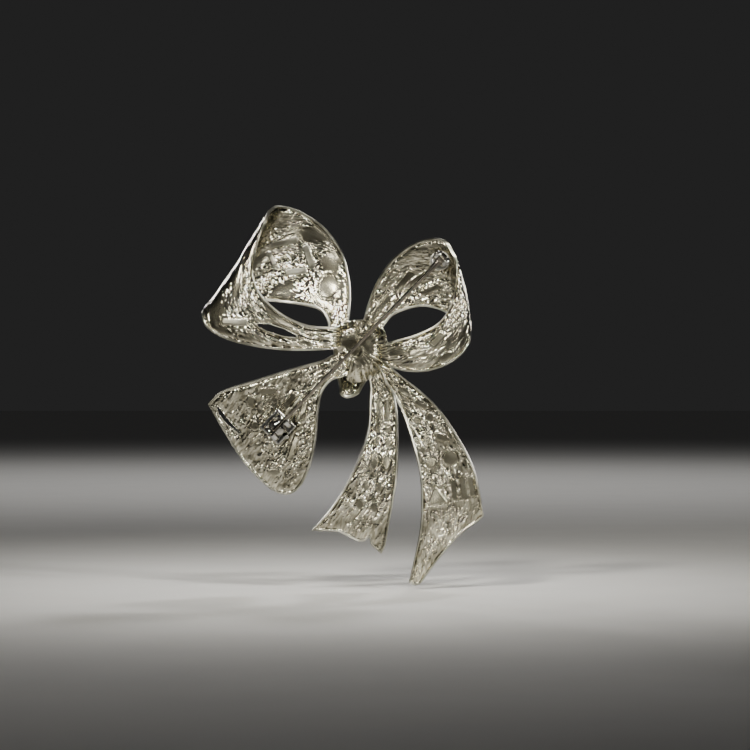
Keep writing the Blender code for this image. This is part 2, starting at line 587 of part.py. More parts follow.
# Roller: a turned barrel with a trunnion at each end, a slot for the stem and a thumb tab
barrel = [(0.0, cheek_outer), (TRUNNION_RADIUS, cheek_outer), (TRUNNION_RADIUS, ROLLER_HALF_LENGTH)]
for step in range(7):
    share = step / 3 - 1
    swell = (ROLLER_RADIUS - ROLLER_END_RADIUS) * (1 - share * share)
    barrel.append((ROLLER_END_RADIUS + swell, -share * ROLLER_HALF_LENGTH))
barrel += [(TRUNNION_RADIUS, -ROLLER_HALF_LENGTH), (TRUNNION_RADIUS, -cheek_outer), (0.0, -cheek_outer)]
safety_roller = turned("safety_roller", barrel, 24, catch_place @ lay_along)
tab = rod_mesh("thumb_tab", TAB_RADIUS, (0, TAB_ROOT, 0), (0, TAB_REACH, 0), 16)
combine(safety_roller, add_cutter("thumb_tab", tab, catch_place), "UNION")
slot = box_mesh("roller_slot", (-2 * cheek_outer, -SLOT_HALF_WIDTH, -SLOT_HALF_WIDTH),
                (2 * cheek_outer, SLOT_HALF_WIDTH, 2 * ROLLER_RADIUS))
combine(safety_roller, add_cutter("roller_slot", slot, catch_place), "DIFFERENCE")
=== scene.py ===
import bpy
import bmesh
import json
import math
import numpy as np
from mathutils import Matrix, Vector
from mathutils.bvhtree import BVHTree


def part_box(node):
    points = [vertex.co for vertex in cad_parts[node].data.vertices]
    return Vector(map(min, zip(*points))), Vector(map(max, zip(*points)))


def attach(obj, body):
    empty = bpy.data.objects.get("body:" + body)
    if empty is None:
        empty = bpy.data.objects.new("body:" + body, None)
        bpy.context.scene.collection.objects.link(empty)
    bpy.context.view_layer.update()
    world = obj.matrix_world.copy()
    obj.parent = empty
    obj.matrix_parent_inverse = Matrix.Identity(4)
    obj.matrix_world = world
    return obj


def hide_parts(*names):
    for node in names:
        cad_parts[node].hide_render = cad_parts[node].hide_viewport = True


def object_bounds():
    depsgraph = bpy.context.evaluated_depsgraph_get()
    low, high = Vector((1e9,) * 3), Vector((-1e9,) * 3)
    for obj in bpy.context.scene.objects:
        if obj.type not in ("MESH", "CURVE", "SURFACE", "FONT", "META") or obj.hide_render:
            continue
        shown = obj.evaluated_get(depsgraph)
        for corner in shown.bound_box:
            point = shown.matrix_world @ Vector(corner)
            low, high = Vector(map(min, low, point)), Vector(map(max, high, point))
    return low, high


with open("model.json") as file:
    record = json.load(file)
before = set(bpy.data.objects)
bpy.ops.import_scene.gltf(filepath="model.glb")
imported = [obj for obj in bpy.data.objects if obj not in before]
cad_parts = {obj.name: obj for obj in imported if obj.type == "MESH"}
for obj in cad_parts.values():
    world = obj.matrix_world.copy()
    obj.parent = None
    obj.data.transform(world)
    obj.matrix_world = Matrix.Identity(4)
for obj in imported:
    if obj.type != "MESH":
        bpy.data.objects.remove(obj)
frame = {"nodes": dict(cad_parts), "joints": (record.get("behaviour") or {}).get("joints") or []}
cadLow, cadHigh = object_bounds()
cadNodes = frame["nodes"]
mm = 0.001   # lengths below are in millimetres
layerNames = ("rim", "pad", "shadeAndTone")   # where the cast metal is a rim or a seat's back, and where painted shade darkens its grooves and hollows (on the plate also a darker mottled tone)

for name in ("Cube", "Light", "Camera"):   # a fresh Blender file has these
    if name in bpy.data.objects:
        bpy.data.objects.remove(bpy.data.objects[name])

print("frame loaded:", len(cadNodes), "nodes")


# small tools

def smoothStep(low, high, value):
    share = np.clip((value - low) / (high - low), 0.0, 1.0)
    return share * share * (3 - 2 * share)


def latticeNoise(x, y, seed):   # smooth noise from -1 to 1
    table = np.random.default_rng(seed).random((128, 128)) * 2 - 1
    x0 = np.floor(x).astype(int)
    y0 = np.floor(y).astype(int)
    fx = smoothStep(0, 1, x - x0)
    fy = smoothStep(0, 1, y - y0)
    near = table[x0 % 128, y0 % 128] * (1 - fx) + table[(x0 + 1) % 128, y0 % 128] * fx
    far = table[x0 % 128, (y0 + 1) % 128] * (1 - fx) + table[(x0 + 1) % 128, (y0 + 1) % 128] * fx
    return near * (1 - fy) + far * fy


def smoothThrough(values, place):   # a smooth curve through the values, place 1.5 being halfway from 1 to 2
    last = len(values) - 1
    index = np.minimum(place.astype(int), last - 1)
    t = (place - index)[..., None]
    before = values[np.maximum(index - 1, 0)]
    start = values[index]
    end = values[index + 1]
    after = values[np.minimum(index + 2, last)]
    return 0.5 * (2 * start + (end - before) * t + (2 * before - 5 * start + 4 * end - after) * t ** 2
                  + (3 * start - before - 3 * end + after) * t ** 3)


def insideOutline(outline, x, z):
    inside = np.zeros(x.shape, bool)
    for (x1, z1), (x2, z2) in zip(outline, outline[1:] + outline[:1]):
        crosses = (z1 > z) != (z2 > z)
        rise = z2 - z1 if z2 != z1 else 1e-9
        inside ^= crosses & (x < (x2 - x1) * (z - z1) / rise + x1)
    return inside


def distanceToOutline(outline, x, z):
    nearest = np.full(x.shape, 1e9)
    for (x1, z1), (x2, z2) in zip(outline, outline[1:] + outline[:1]):
        dx, dz = x2 - x1, z2 - z1
        share = np.clip(((x - x1) * dx + (z - z1) * dz) / (dx * dx + dz * dz + 1e-12), 0, 1)
        nearest = np.minimum(nearest, np.hypot(x - x1 - share * dx, z - z1 - share * dz))
    return nearest


def bell(value, middle, width):   # 1 at the middle, fading to 0 on both sides
    return np.exp(-((value - middle) / width) ** 2)


def turnedPlace(x, z, middle, turn):   # places from a middle, along a turned way and across it
    dx, dz = x - middle[0], z - middle[1]
    return dx * math.cos(turn) + dz * math.sin(turn), dz * math.cos(turn) - dx * math.sin(turn)


def newObject(name, data):
    made = bpy.data.objects.new(name, data)
    bpy.context.scene.collection.objects.link(made)
    return made


def meshOf(bm, name):
    mesh = bpy.data.meshes.new(name)
    bm.to_mesh(mesh)
    bm.free()
    return mesh


def finishPiece(bm, name, material, body="brooch"):
    mesh = meshOf(bm, name)
    mesh.materials.append(material)
    mesh.shade_smooth()
    mesh.set_sharp_from_angle(angle=math.radians(40))
    piece = newObject(name, mesh)
    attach(piece, body)
    return piece


# finishes

def newFinish(name):
    material = bpy.data.materials.new(name)
    material.use_nodes = True
    nodes = material.node_tree.nodes
    return material, nodes, material.node_tree.links, nodes["Principled BSDF"]


def noiseNode(nodes, links, vector, scale, detail=2.0):
    node = nodes.new("ShaderNodeTexNoise")
    node.inputs["Scale"].default_value = scale
    node.inputs["Detail"].default_value = detail
    links.new(vector, node.inputs["Vector"])
    return node.outputs["Fac"]


def rampNode(nodes, links, source, stops):   # two stops, each a place and a colour
    node = nodes.new("ShaderNodeValToRGB")
    for stop, (place, colour) in zip(node.color_ramp.elements, stops):
        stop.position = place
        stop.color = (*colour, 1.0)
    links.new(source, node.inputs["Fac"])
    return node.outputs["Color"]


def mixColour(nodes, links, share, first, second):
    node = nodes.new("ShaderNodeMix")
    node.data_type = "RGBA"
    links.new(share, node.inputs["Factor"])
    for value, socket in ((first, node.inputs["A"]), (second, node.inputs["B"])):
        if isinstance(value, tuple):
            socket.default_value = (*value, 1.0)
        else:
            links.new(value, socket)
    return node.outputs["Result"]


def mixValue(nodes, links, share, first, second):
    node = nodes.new("ShaderNodeMix")
    links.new(share, node.inputs["Factor"])
    for value, socket in ((first, node.inputs["A"]), (second, node.inputs["B"])):
        if isinstance(value, float):
            socket.default_value = value
        else:
            links.new(value, socket)
    return node.outputs["Result"]


def attributeNode(nodes, name):
    node = nodes.new("ShaderNodeAttribute")
    node.attribute_name = name
    return node.outputs["Fac"]


def mathNode(nodes, links, operation, first, second):
    node = nodes.new("ShaderNodeMath")
    node.operation = operation
    links.new(first, node.inputs[0])
    links.new(second, node.inputs[1])
    return node.outputs[0]


def addBump(nodes, links, height, strength, distance, shader):
    bump = nodes.new("ShaderNodeBump")
    bump.inputs["Strength"].default_value = strength
    bump.inputs["Distance"].default_value = distance
    links.new(height, bump.inputs["Height"])
    links.new(bump.outputs["Normal"], shader.inputs["Normal"])


castFinish = {
    # painted highlight on the raised dashes, then the darker painted shade between them
    "dashHighlight": (0.92, 0.88, 0.71),
    "middle": (0.45, 0.42, 0.31),
    # painted shade laid into grooves and hollows
    "grooveShade": (0.14, 0.13, 0.09),
    "lineStops": (0.36, 0.56),
    "dash": (8.0, 22.0, 1.0),   # noise cells to a centimetre, along and across
    "grain": 25.0,
    "rim": (0.56, 0.55, 0.46),
    # darker tone in random patches
    "pad": (0.31, 0.295, 0.225),
    "worn": (0.13, 0.12, 0.08),
    "wornPatches": 2.6,
    "wornStops": (0.42, 0.64),
    "wornMost": 0.55,
    "lineRoughness": (0.04, 0.17),
    "roughPatches": 3.0,
    "rimRoughness": 0.30,
    "padRoughness": 0.25,
    "bump": (0.9, 0.0001),
}


def castMetal():   # plating over lines cast along the ribbon, with painted highlight on the raised dashes and painted shade between them; satin rims, smooth seat backs
    material, nodes, links, shader = newFinish("castPlating")
    shader.inputs["Metallic"].default_value = 1.0
    uvNode = nodes.new("ShaderNodeUVMap")
    uvNode.uv_map = "along"
    uv = uvNode.outputs["UV"]
    stretch = nodes.new("ShaderNodeMapping")
    stretch.inputs["Scale"].default_value = castFinish["dash"]
    links.new(uv, stretch.inputs["Vector"])
    lines = noiseNode(nodes, links, stretch.outputs["Vector"], 1.0, 0.0)
    grain = noiseNode(nodes, links, uv, castFinish["grain"], 0.0)
    patches = noiseNode(nodes, links, uv, castFinish["roughPatches"], 2.0)
    worn = noiseNode(nodes, links, uv, castFinish["wornPatches"], 1.0)
    rim, pad, shadeAndTone = (attributeNode(nodes, name) for name in layerNames)

    # painted highlight on the raised dashes and painted shade between them, from the same noise that raises
    # the bump
    dashLightAndShade = (castFinish["middle"], castFinish["dashHighlight"])
    colour = rampNode(nodes, links, lines, list(zip(castFinish["lineStops"], dashLightAndShade)))
    colour = mixColour(nodes, links, pad, colour, castFinish["pad"])
    # painted shade: the colour is pulled to a dark tone in the grooves and hollows
    colour = mixColour(nodes, links, shadeAndTone, colour, castFinish["grooveShade"])
    colour = mixColour(nodes, links, rim, colour, castFinish["rim"])
    # darker in random patches
    wornShares = ((0.0,) * 3, (castFinish["wornMost"],) * 3)
    worn = rampNode(nodes, links, worn, list(zip(castFinish["wornStops"], wornShares)))
    colour = mixColour(nodes, links, worn, colour, castFinish["worn"])
    links.new(colour, shader.inputs["Base Color"])

    rough = mixValue(nodes, links, patches, *castFinish["lineRoughness"])
    rough = mixValue(nodes, links, pad, rough, castFinish["padRoughness"])
    rough = mixValue(nodes, links, rim, rough, castFinish["rimRoughness"])
    links.new(rough, shader.inputs["Roughness"])

    smoothArea = mathNode(nodes, links, "MAXIMUM", rim, pad)
    height = mixValue(nodes, links, smoothArea, mathNode(nodes, links, "ADD", lines, grain), 1.0)
    addBump(nodes, links, height, *castFinish["bump"], shader)
    return material


satinFinish = {
    "darker": 0.72,
    "blotchSize": 5,   # times the size of the grain
    "blotchStops": (0.35, 0.65),
    "smoother": 0.07,
    "rougher": 0.09,
    "bump": (0.25, 0.00003),
}


def satinMetal(name, colour, roughness, scale):
    material, nodes, links, shader = newFinish(name)
    shader.inputs["Metallic"].default_value = 1.0
    place = nodes.new("ShaderNodeTexCoord").outputs["Object"]
    grain = noiseNode(nodes, links, place, scale, 3.0)
    blotch = noiseNode(nodes, links, place, scale / satinFinish["blotchSize"], 2.0)
    dark = tuple(channel * satinFinish["darker"] for channel in colour)
    links.new(rampNode(nodes, links, blotch, list(zip(satinFinish["blotchStops"], (dark, colour)))),
              shader.inputs["Base Color"])
    smoother, rougher = roughness - satinFinish["smoother"], roughness + satinFinish["rougher"]
    links.new(mixValue(nodes, links, grain, smoother, rougher), shader.inputs["Roughness"])
    addBump(nodes, links, grain, *satinFinish["bump"], shader)
    return material


crystalFinish = {
    "facets": 1150.0,
    "dim": (0.30, 0.33, 0.37),
    "lit": (0.97, 0.98, 1.0),
    "facetStops": (0.25, 0.75),
    "silvering": 0.65,
    "glassIor": 1.58,
    "coatRoughness": 0.02,
    "cloudScale": 700.0,
    "cloudRoughness": (0.04, 0.12),
    "bump": (0.8, 0.0003),
}


def cutCrystal():   # clear glass over silver foil: a ground painted with lit and dim facets, painted reflections, under a smooth face
    material, nodes, links, shader = newFinish("cutCrystal")
    shader.inputs["Metallic"].default_value = crystalFinish["silvering"]
    shader.inputs["IOR"].default_value = crystalFinish["glassIor"]
    shader.inputs["Coat Weight"].default_value = 1.0
    shader.inputs["Coat Roughness"].default_value = crystalFinish["coatRoughness"]
    place = nodes.new("ShaderNodeTexCoord").outputs["Object"]
    facets = nodes.new("ShaderNodeTexVoronoi")
    facets.inputs["Scale"].default_value = crystalFinish["facets"]
    facets.inputs["Randomness"].default_value = 0.8
    links.new(place, facets.inputs["Vector"])
    # painted reflections: lit and dim facet tones laid into the base colour
    tones = list(zip(crystalFinish["facetStops"], (crystalFinish["dim"], crystalFinish["lit"])))
    links.new(rampNode(nodes, links, facets.outputs["Color"], tones), shader.inputs["Base Color"])
    cloud = noiseNode(nodes, links, place, crystalFinish["cloudScale"], 1.0)
    links.new(mixValue(nodes, links, cloud, *crystalFinish["cloudRoughness"]), shader.inputs["Roughness"])
    addBump(nodes, links, facets.outputs["Distance"], *crystalFinish["bump"], shader)
    return material


castPlating = castMetal()
solderMetal = satinMetal("solderMetal", (0.50, 0.49, 0.44), 0.36, 900.0)
findingSteel = satinMetal("findingSteel", (0.70, 0.69, 0.65), 0.13, 1400.0)
stemSteel = satinMetal("stemSteel", (0.32, 0.29, 0.24), 0.18, 1400.0)
rollerSteel = satinMetal("rollerSteel", (0.40, 0.39, 0.36), 0.10, 1400.0)
crystal = cutCrystal()
print("finishes made")


# where each stone sits, read from the frame

def hullOf(points):   # convex outline of flat points, running anticlockwise
    points = sorted({(round(a, 4), round(b, 4)) for a, b in points})
    halves = []
    for run in (points, points[::-1]):
        chain = []
        for point in run:
            while len(chain) > 1 and ((chain[-1][0] - chain[-2][0]) * (point[1] - chain[-2][1])
                                      - (chain[-1][1] - chain[-2][1]) * (point[0] - chain[-2][0])) <= 1e-6:
                chain.pop()
            chain.append(point)
        halves += chain[:-1]
    return np.array(halves)


def readStone(name):   # the stone's own ways and outline, in millimetres
    points = np.array([vert.co for vert in cadNodes[name].data.vertices]) / mm
    axes = np.linalg.eigh(np.cov((points - points.mean(0)).T))[1]
    up = axes[:, 0] * np.sign(axes[1, 0])
    along = axes[:, 2]
    wide = np.cross(up, along)
    local = (points - points.mean(0)) @ np.array([along, wide, up]).T
    shift = (local.max(0) + local.min(0)) / 2
    centre = points.mean(0) + shift @ np.array([along, wide, up])
    outline = hullOf(local[:, :2] - shift[:2])
    ahead = np.roll(outline, -1, axis=0) - outline
    facing = np.stack([ahead[:, 1], -ahead[:, 0]], axis=1) / np.linalg.norm(ahead, axis=1)[:, None]
    half = (local.max(0) - local.min(0)) / 2
    return {"name": name, "cut": name.split("_")[-2], "centre": centre, "half": half,
            "along": along, "wide": wide, "up": up, "outline": outline, "facing": facing}


stoneNames = sorted(name for name in cadNodes if name.split("_")[-1].isdigit())
stones = [readStone(name) for name in stoneNames]
for stone in stones:
    material = cadNodes[stone["name"]].data.materials
    material.clear()
    material.append(crystal)


def outlineDistance(stone, a, b):   # below 0 inside the stone's outline
    gap = np.full(a.shape, -1e9)
    for corner, way in zip(stone["outline"], stone["facing"]):
        gap = np.maximum(gap, (a - corner[0]) * way[0] + (b - corner[1]) * way[1])
    return gap


def stonesOf(settings):
    return [stone for stone in stones if stone["name"].startswith(settings["node"])]


# the ribbons and the knot: a station holds one edge, the other edge, how far the middle rises to the front
# and, at some stations, how far it is drawn sideways and upwards

upperLeftLoop = {
    "node": "upper_left_loop", "cells": (340, 110), "seed": 11, "rimWidth": 0.42,
    "paleSeats": 0.7, "satinPatches": 0.9,
    "quiet": {"middle": (-9.5, 16.5), "half": (7.5, 9.0), "faint": 0.45},
    "stations": [
        ((-1.1, 2.2, 4.6), (-4.8, 2.2, 3.8), 0.2),
        ((-0.7, 3.2, 8.6), (-5.3, 2.8, 5.7), 0.4),
        ((-0.9, 4.6, 13.1), (-6.7, 3.4, 7.4), 0.8),
        ((-2.2, 5.6, 18.2), (-9.5, 3.9, 8.2), 1.1),
        ((-5.4, 6.0, 22.9), (-13.1, 4.2, 8.7), 1.3),
        ((-9.9, 5.5, 26.1), (-18.2, 4.0, 9.1), 1.2),
        ((-13.5, 4.0, 27.2), (-24.0, 3.0, 8.6), 0.8, (0.3, 0.0)),
        ((-15.6, 1.6, 26.7), (-28.1, 0.8, 7.4), 0.2, (0.6, 0.0)),
        ((-16.7, -0.6, 24.1), (-28.5, -1.2, 5.2), -0.4, (0.2, 0.0)),
        ((-18.3, -1.7, 19.6), (-26.9, -2.2, 3.1), -0.7),
        ((-19.3, -2.3, 14.4), (-23.2, -2.6, 1.4), -0.8),
        ((-17.5, -2.4, 9.9), (-18.6, -2.7, 0.3), -0.7),
        ((-13.5, -1.8, 6.3), (-13.5, -2.0, -0.3), -0.6),
        ((-8.9, -0.6, 4.3), (-8.7, -0.8, -0.4), -0.4),
        ((-4.4, 0.6, 4.0), (-4.1, 0.6, -0.2), 0.0),
        ((-2.6, 1.9, 3.6), (-2.4, 1.9, 0.4), 0.0),
    ],
    "slit": ([(-18.1, 4.6), (-16.0, 4.5), (-13.1, 3.5), (-10.9, 2.4), (-10.9, 2.0), (-13.5, 2.3),
              (-16.3, 3.2), (-18.1, 4.1)], (-5.0, 0.0)),
}
upperRightLoop = {
    "node": "upper_right_loop", "cells": (340, 96), "seed": 23, "rimWidth": 0.40,
    "fins": {"middle": (17.7, 15.4), "turn": math.radians(68), "pitch": 0.72, "count": 4, "half": 1.1,
             "depth": 0.5},
    "stations": [
        ((1.7, 2.2, 4.9), (4.9, 2.2, 3.2), 0.2),
        ((2.9, 2.3, 9.0), (7.2, 2.8, 6.1), 0.4),
        ((4.8, 2.1, 13.4), (9.9, 3.2, 7.4), 0.8),
        ((7.6, 1.8, 17.2), (12.9, 3.4, 8.0), 1.0),
        ((11.2, 1.3, 19.8), (15.6, 3.3, 7.6), 1.1),
        ((14.8, 0.8, 20.9), (18.1, 3.0, 6.5), 1.0, (0.2, 0.0)),
        ((17.2, 0.2, 20.5), (20.2, 2.4, 4.9), 0.7, (0.4, 0.0)),
        ((18.4, -0.6, 18.9), (21.8, 0.9, 3.2), 0.2, (0.7, 0.0)),
        ((19.3, -1.5, 16.0), (21.6, -0.8, 0.9), -0.3, (0.6, 0.0)),
        ((19.4, -1.9, 11.8), (20.2, -1.7, -1.2), -0.6, (0.3, 0.0)),
        ((18.6, -2.1, 8.2), (17.5, -2.1, -3.1), -0.7),
        ((16.3, -2.0, 4.8), (13.9, -2.0, -4.3), -0.6),
        ((12.5, -1.4, 2.7), (10.3, -1.4, -4.4), -0.5),
        ((8.8, -0.4, 1.6), (7.5, -0.4, -3.7), -0.3),
        ((5.6, 0.6, 0.8), (5.5, 0.6, -2.4), 0.0),
        ((3.9, 1.9, 0.8), (3.8, 1.9, -2.0), 0.0),
    ],
}
lowerLeftLoop = {
    "node": "lower_left_loop", "cells": (200, 130), "seed": 37, "rimWidth": 0.40,
    "stations": [
        ((-1.4, 1.9, -1.3), (-0.6, 1.9, -4.4), 0.0),
        ((-3.1, 0.7, -0.9), (-1.8, 0.7, -5.3), 0.0),
        ((-6.1, 0.6, -2.3), (-4.4, 0.6, -6.3), 0.2),
        ((-9.7, 0.4, -3.3), (-6.1, 0.5, -8.6), 0.5),
        ((-13.9, 0.2, -4.5), (-6.8, 0.4, -12.2), 0.9),
        ((-18.6, 0.1, -6.0), (-7.1, 0.4, -16.5), 1.2, (-0.3, -0.3)),
        ((-23.2, 0.3, -7.4), (-8.0, 0.8, -21.5), 1.3, (-0.8, -0.7)),
        ((-26.0, 0.9, -8.7), (-9.7, 1.6, -25.6), 1.0, (-1.1, -1.5)),
        ((-28.4, 2.2, -11.5), (-12.6, 3.0, -29.6), 0.6, (-1.9, -3.6)),
    ],
    "within": [(10.0, 10.0), (-27.0, 10.0), (-28.2, -8.6), (-27.7, -10.6), (-26.7, -12.4), (-25.3, -15.0),
               (-23.2, -18.5), (-20.9, -21.9), (-18.6, -24.5), (-16.0, -26.8), (-14.4, -27.6), (-13.1, -27.9),
               (-11.9, -27.7), (-10.8, -27.0), (-9.6, -25.6), (-8.6, -24.0), (10.0, -24.0)],
    "slit": ([(-26.2, -10.9), (-25.5, -11.6), (-23.8, -13.9), (-21.6, -16.1), (-21.8, -16.3), (-24.2, -14.4),
              (-25.7, -12.5)], (-3.0, 6.0)),
}
shortTail = {
    "node": "short_tail", "cells": (230, 72), "seed": 41, "rimWidth": 0.34,
    "stations": [
        ((2.3, 2.8, -2.4), (5.5, 2.8, -2.8), 0.1),
        ((2.4, 2.8, -3.8), (5.8, 2.8, -4.2), 0.1),
        ((3.0, 2.7, -6.8), (7.4, 2.7, -7.8), 0.4),
        ((2.9, 2.3, -10.6), (8.2, 2.3, -11.8), 0.6),
        ((2.6, 1.6, -15.2), (8.4, 1.6, -16.0), 0.7),
        ((1.3, 1.0, -19.8), (8.4, 1.0, -20.3), 0.7),
        ((-0.8, 0.7, -24.5), (8.2, 0.7, -24.7), 0.7),
        ((-3.2, 0.7, -28.7), (7.6, 0.7, -28.7), 0.6),
        ((-6.2, 1.1, -32.6), (6.8, 1.1, -33.0), 0.4),
        ((-10.8, 1.8, -37.6), (5.4, 1.8, -40.6), 0.2),
    ],
    "within": [(-9.0, 5.0), (-9.0, -34.5), (-7.9, -34.6), (-4.6, -34.8), (-2.9, -34.9), (-1.5, -35.6),
               (0.9, -36.8), (2.0, -36.7), (2.9, -35.9), (3.3, -37.4), (5.3, -39.2), (6.2, -37.0),
               (12.0, -36.0), (12.0, 5.0)],
}
longTail = {
    "node": "long_tail", "cells": (250, 90), "seed": 53, "rimWidth": 0.34,
    "stations": [
        ((4.0, 1.7, -2.2), (6.2, 1.7, -1.9), 0.0),
        ((5.0, 1.1, -3.7), (6.9, 1.1, -3.3), 0.0),
        ((5.9, 0.9, -6.1), (9.3, 0.9, -5.5), 0.1),
        ((7.8, 0.6, -9.3), (13.2, 0.6, -8.6), 0.3),
        ((9.7, 0.4, -13.7), (16.8, 0.4, -12.3), 0.6),
        ((11.3, 0.2, -18.8), (20.3, 0.2, -17.7), 0.8),
        ((12.5, 0.2, -23.9), (22.8, 0.4, -22.8), 0.9),
        ((12.8, 0.4, -29.3), (24.0, 0.8, -27.7), 0.8),
        ((12.4, 0.9, -35.5), (24.4, 1.2, -30.2), 0.6),
        ((9.9, 1.5, -47.0), (25.1, 1.8, -34.5), 0.2),
    ],
    "within": [(2.0, 5.0), (2.0, -44.0), (10.7, -44.6), (11.1, -45.0), (11.9, -45.1), (12.8, -44.7),
               (14.6, -42.1), (16.3, -39.9), (18.0, -37.8), (19.9, -35.7), (21.7, -34.3), (23.4, -33.1),
               (24.5, -32.1), (24.8, -31.2), (30.0, -31.0), (30.0, 5.0)],
}
centreKnot = {
    "node": "centre_knot", "cells": (120, 80), "seed": 67, "rimWidth": 0.45,
    "grainGain": 3.0, "satinPatches": 0.0, "pleats": 5, "freeEnds": True,
    "stations": [
        ((-1.6, 4.4, 4.7), (2.6, 4.4, 4.7), 0.2),
        ((-3.3, 5.8, 4.2), (4.2, 5.8, 3.8), 0.6),
        ((-4.0, 6.6, 2.0), (5.1, 6.6, 1.6), 1.1),
        ((-3.9, 6.7, -0.9), (5.3, 6.7, -1.2), 1.3),
        ((-3.4, 6.1, -4.0), (4.0, 6.1, -4.2), 1.0),
        ((-3.0, 4.4, -6.6), (2.2, 4.4, -6.4), 0.5),
        ((-2.6, 3.0, -8.5), (0.9, 3.0, -8.6), 0.1, (-0.5, -0.9)),
    ],
}
relief = {   # heights and sizes in millimetres, each size along the ribbon and across it
    "wall": 0.86, "edgeThin": 0.35, "edgeThinReach": 1.6, "edgeRound": 0.22,
    "rimHeight": 0.10, "frontEase": 0.10, "rimGroove": 0.16, "rimGrooveWidth": 0.16, "slitRim": 0.55,
    "padHeight": 0.24, "padFlank": 0.20, "padDepth": 3.2,
    "seatRidge": 0.13, "ridgeGap": 0.28, "ridgeWidth": 0.18,
    "wave": 0.13, "waveSize": (4.6, 3.8), "ripple": 0.03, "rippleSize": (1.7, 1.3),
    "line": 0.12, "lineSize": (3.2, 0.58), "crest": 0.45, "breakSize": (1.3, 0.9),
    "wander": 0.35, "wanderSize": (3.0, 2.5), "fineLine": 0.08, "fineSize": (0.9, 0.40),
    # on the next line, the last pair is the depth of the cast lines over which the painted shade fades in
    "grain": 0.035, "grainSize": (0.40, 0.40), "grooveShade": (-0.01, -0.09),
    "satin": 0.35, "satinSize": (3.4, 2.6), "speck": 0.4, "speckSize": (0.9, 0.7),
    "rootX": 0.7, "rootFade": (3.0, 8.0), "frontLine": 0.02, "frontSize": (6.0, 0.45), "pleat": 0.15,
}
fineSteps = 1200   # places tried along a ribbon for where its end is cut


def layRibbon(settings):   # how far across each place is, and its middle surface in millimetres
    stations = settings["stations"]
    alongCells, acrossCells = settings["cells"]
    oneEdge = np.array([station[0] for station in stations])
    otherEdge = np.array([station[1] for station in stations])
    draws = [station[3] if len(station) > 3 else (0.0, 0.0) for station in stations]
    draw = np.array([(drawX, station[2], drawZ) for station, (drawX, drawZ) in zip(stations, draws)])
    spans = len(stations) - 1

    def pointAt(place, share):
        start = smoothThrough(oneEdge, place)
        end = smoothThrough(otherEdge, place)
        crown = (1 - (2 * share - 1) ** 2)[..., None]
        return start * (1 - share[..., None]) + end * share[..., None] + smoothThrough(draw, place) * crown

    def gridOf(rows):
        share = np.tile(np.linspace(0, 1, acrossCells + 1), (rows + 1, 1))
        place = np.tile(np.linspace(0, spans, rows + 1)[:, None], (1, acrossCells + 1))
        return place, share

    place, share = gridOf(alongCells)
    if "within" in settings:   # each line along the ribbon stops where it meets the end's outline
        points = pointAt(*gridOf(fineSteps))
        outside = ~insideOutline(settings["within"], points[..., 0], points[..., 2])
        outside[:fineSteps // 2] = False
        stop = np.where(outside.any(0), outside.argmax(0), fineSteps) / fineSteps
        place = place * stop[None, :]
    return share, pointAt(place, share)


def unitNormals(points):
    acrossWay = np.gradient(points, axis=1)
    alongWay = np.gradient(points, axis=0)
    normal = np.cross(alongWay, acrossWay)
    return normal / np.maximum(np.linalg.norm(normal, axis=2, keepdims=True), 1e-9)


def finsOf(fins, points):   # a few deep slots side by side
    a, b = turnedPlace(points[..., 0], points[..., 2], fins["middle"], fins["turn"])
    halfRow = fins["count"] * fins["pitch"] / 2
    window = 1 - smoothStep(fins["half"] * 0.7, fins["half"], np.abs(a))
    window = window * (1 - smoothStep(halfRow - 0.15, halfRow, np.abs(b)))
    return fins["depth"] * window * smoothStep(0.0, 0.8, np.cos(b / fins["pitch"] * 2 * np.pi))


def seatsOf(settings, points):   # the backs of the stones' seats, which of them are pale, and their ridges
    pad, pale, ridge = (np.zeros(points.shape[:2]) for _ in range(3))
    for stone in stonesOf(settings):
        offset = points - stone["centre"]
        a, b, h = (offset @ stone[way] for way in ("along", "wide", "up"))
        near = np.abs(h) < relief["padDepth"]
        gap = outlineDistance(stone, a, b)
        seat = np.where(near, 1 - smoothStep(-relief["padFlank"], 0.0, gap), 0.0)
        pad = np.maximum(pad, seat)
        if stone["cut"] == "baguette":
            pale = np.maximum(pale, seat)
        ridge = np.maximum(ridge, np.where(near, bell(gap, relief["ridgeGap"], relief["ridgeWidth"]), 0.0))
    return pad, pale, ridge


def castLines(settings, points, facing, travel, across, noise):
    alongSize, acrossSize = relief["lineSize"]
    wander = across + relief["wander"] * noise("wanderSize", 5)
    wavy = latticeNoise(travel / alongSize, wander / acrossSize, settings["seed"] + 2)
    broken = 0.35 + 0.65 * smoothStep(-0.3, 0.3, noise("breakSize", 6))
    grain = relief["grain"] * settings.get("grainGain", 1.0) * noise("grainSize", 7)
    lines = relief["line"] * (relief["crest"] - np.abs(wavy)) * broken
    lines = lines + relief["fineLine"] * noise("fineSize", 3) + grain
    if "quiet" in settings:   # a place where the cast lines are fainter
        quiet = settings["quiet"]
        fromQuiet = np.hypot((points[..., 0] - quiet["middle"][0]) / quiet["half"][0],
                             (points[..., 2] - quiet["middle"][1]) / quiet["half"][1])
        lines = lines * (quiet["faint"] + (1 - quiet["faint"]) * smoothStep(0.7, 1.2, fromQuiet))
    return lines * (0.3 + 0.7 * smoothStep(0.0, 0.6, facing)), broken   # fainter where the ribbon turns away


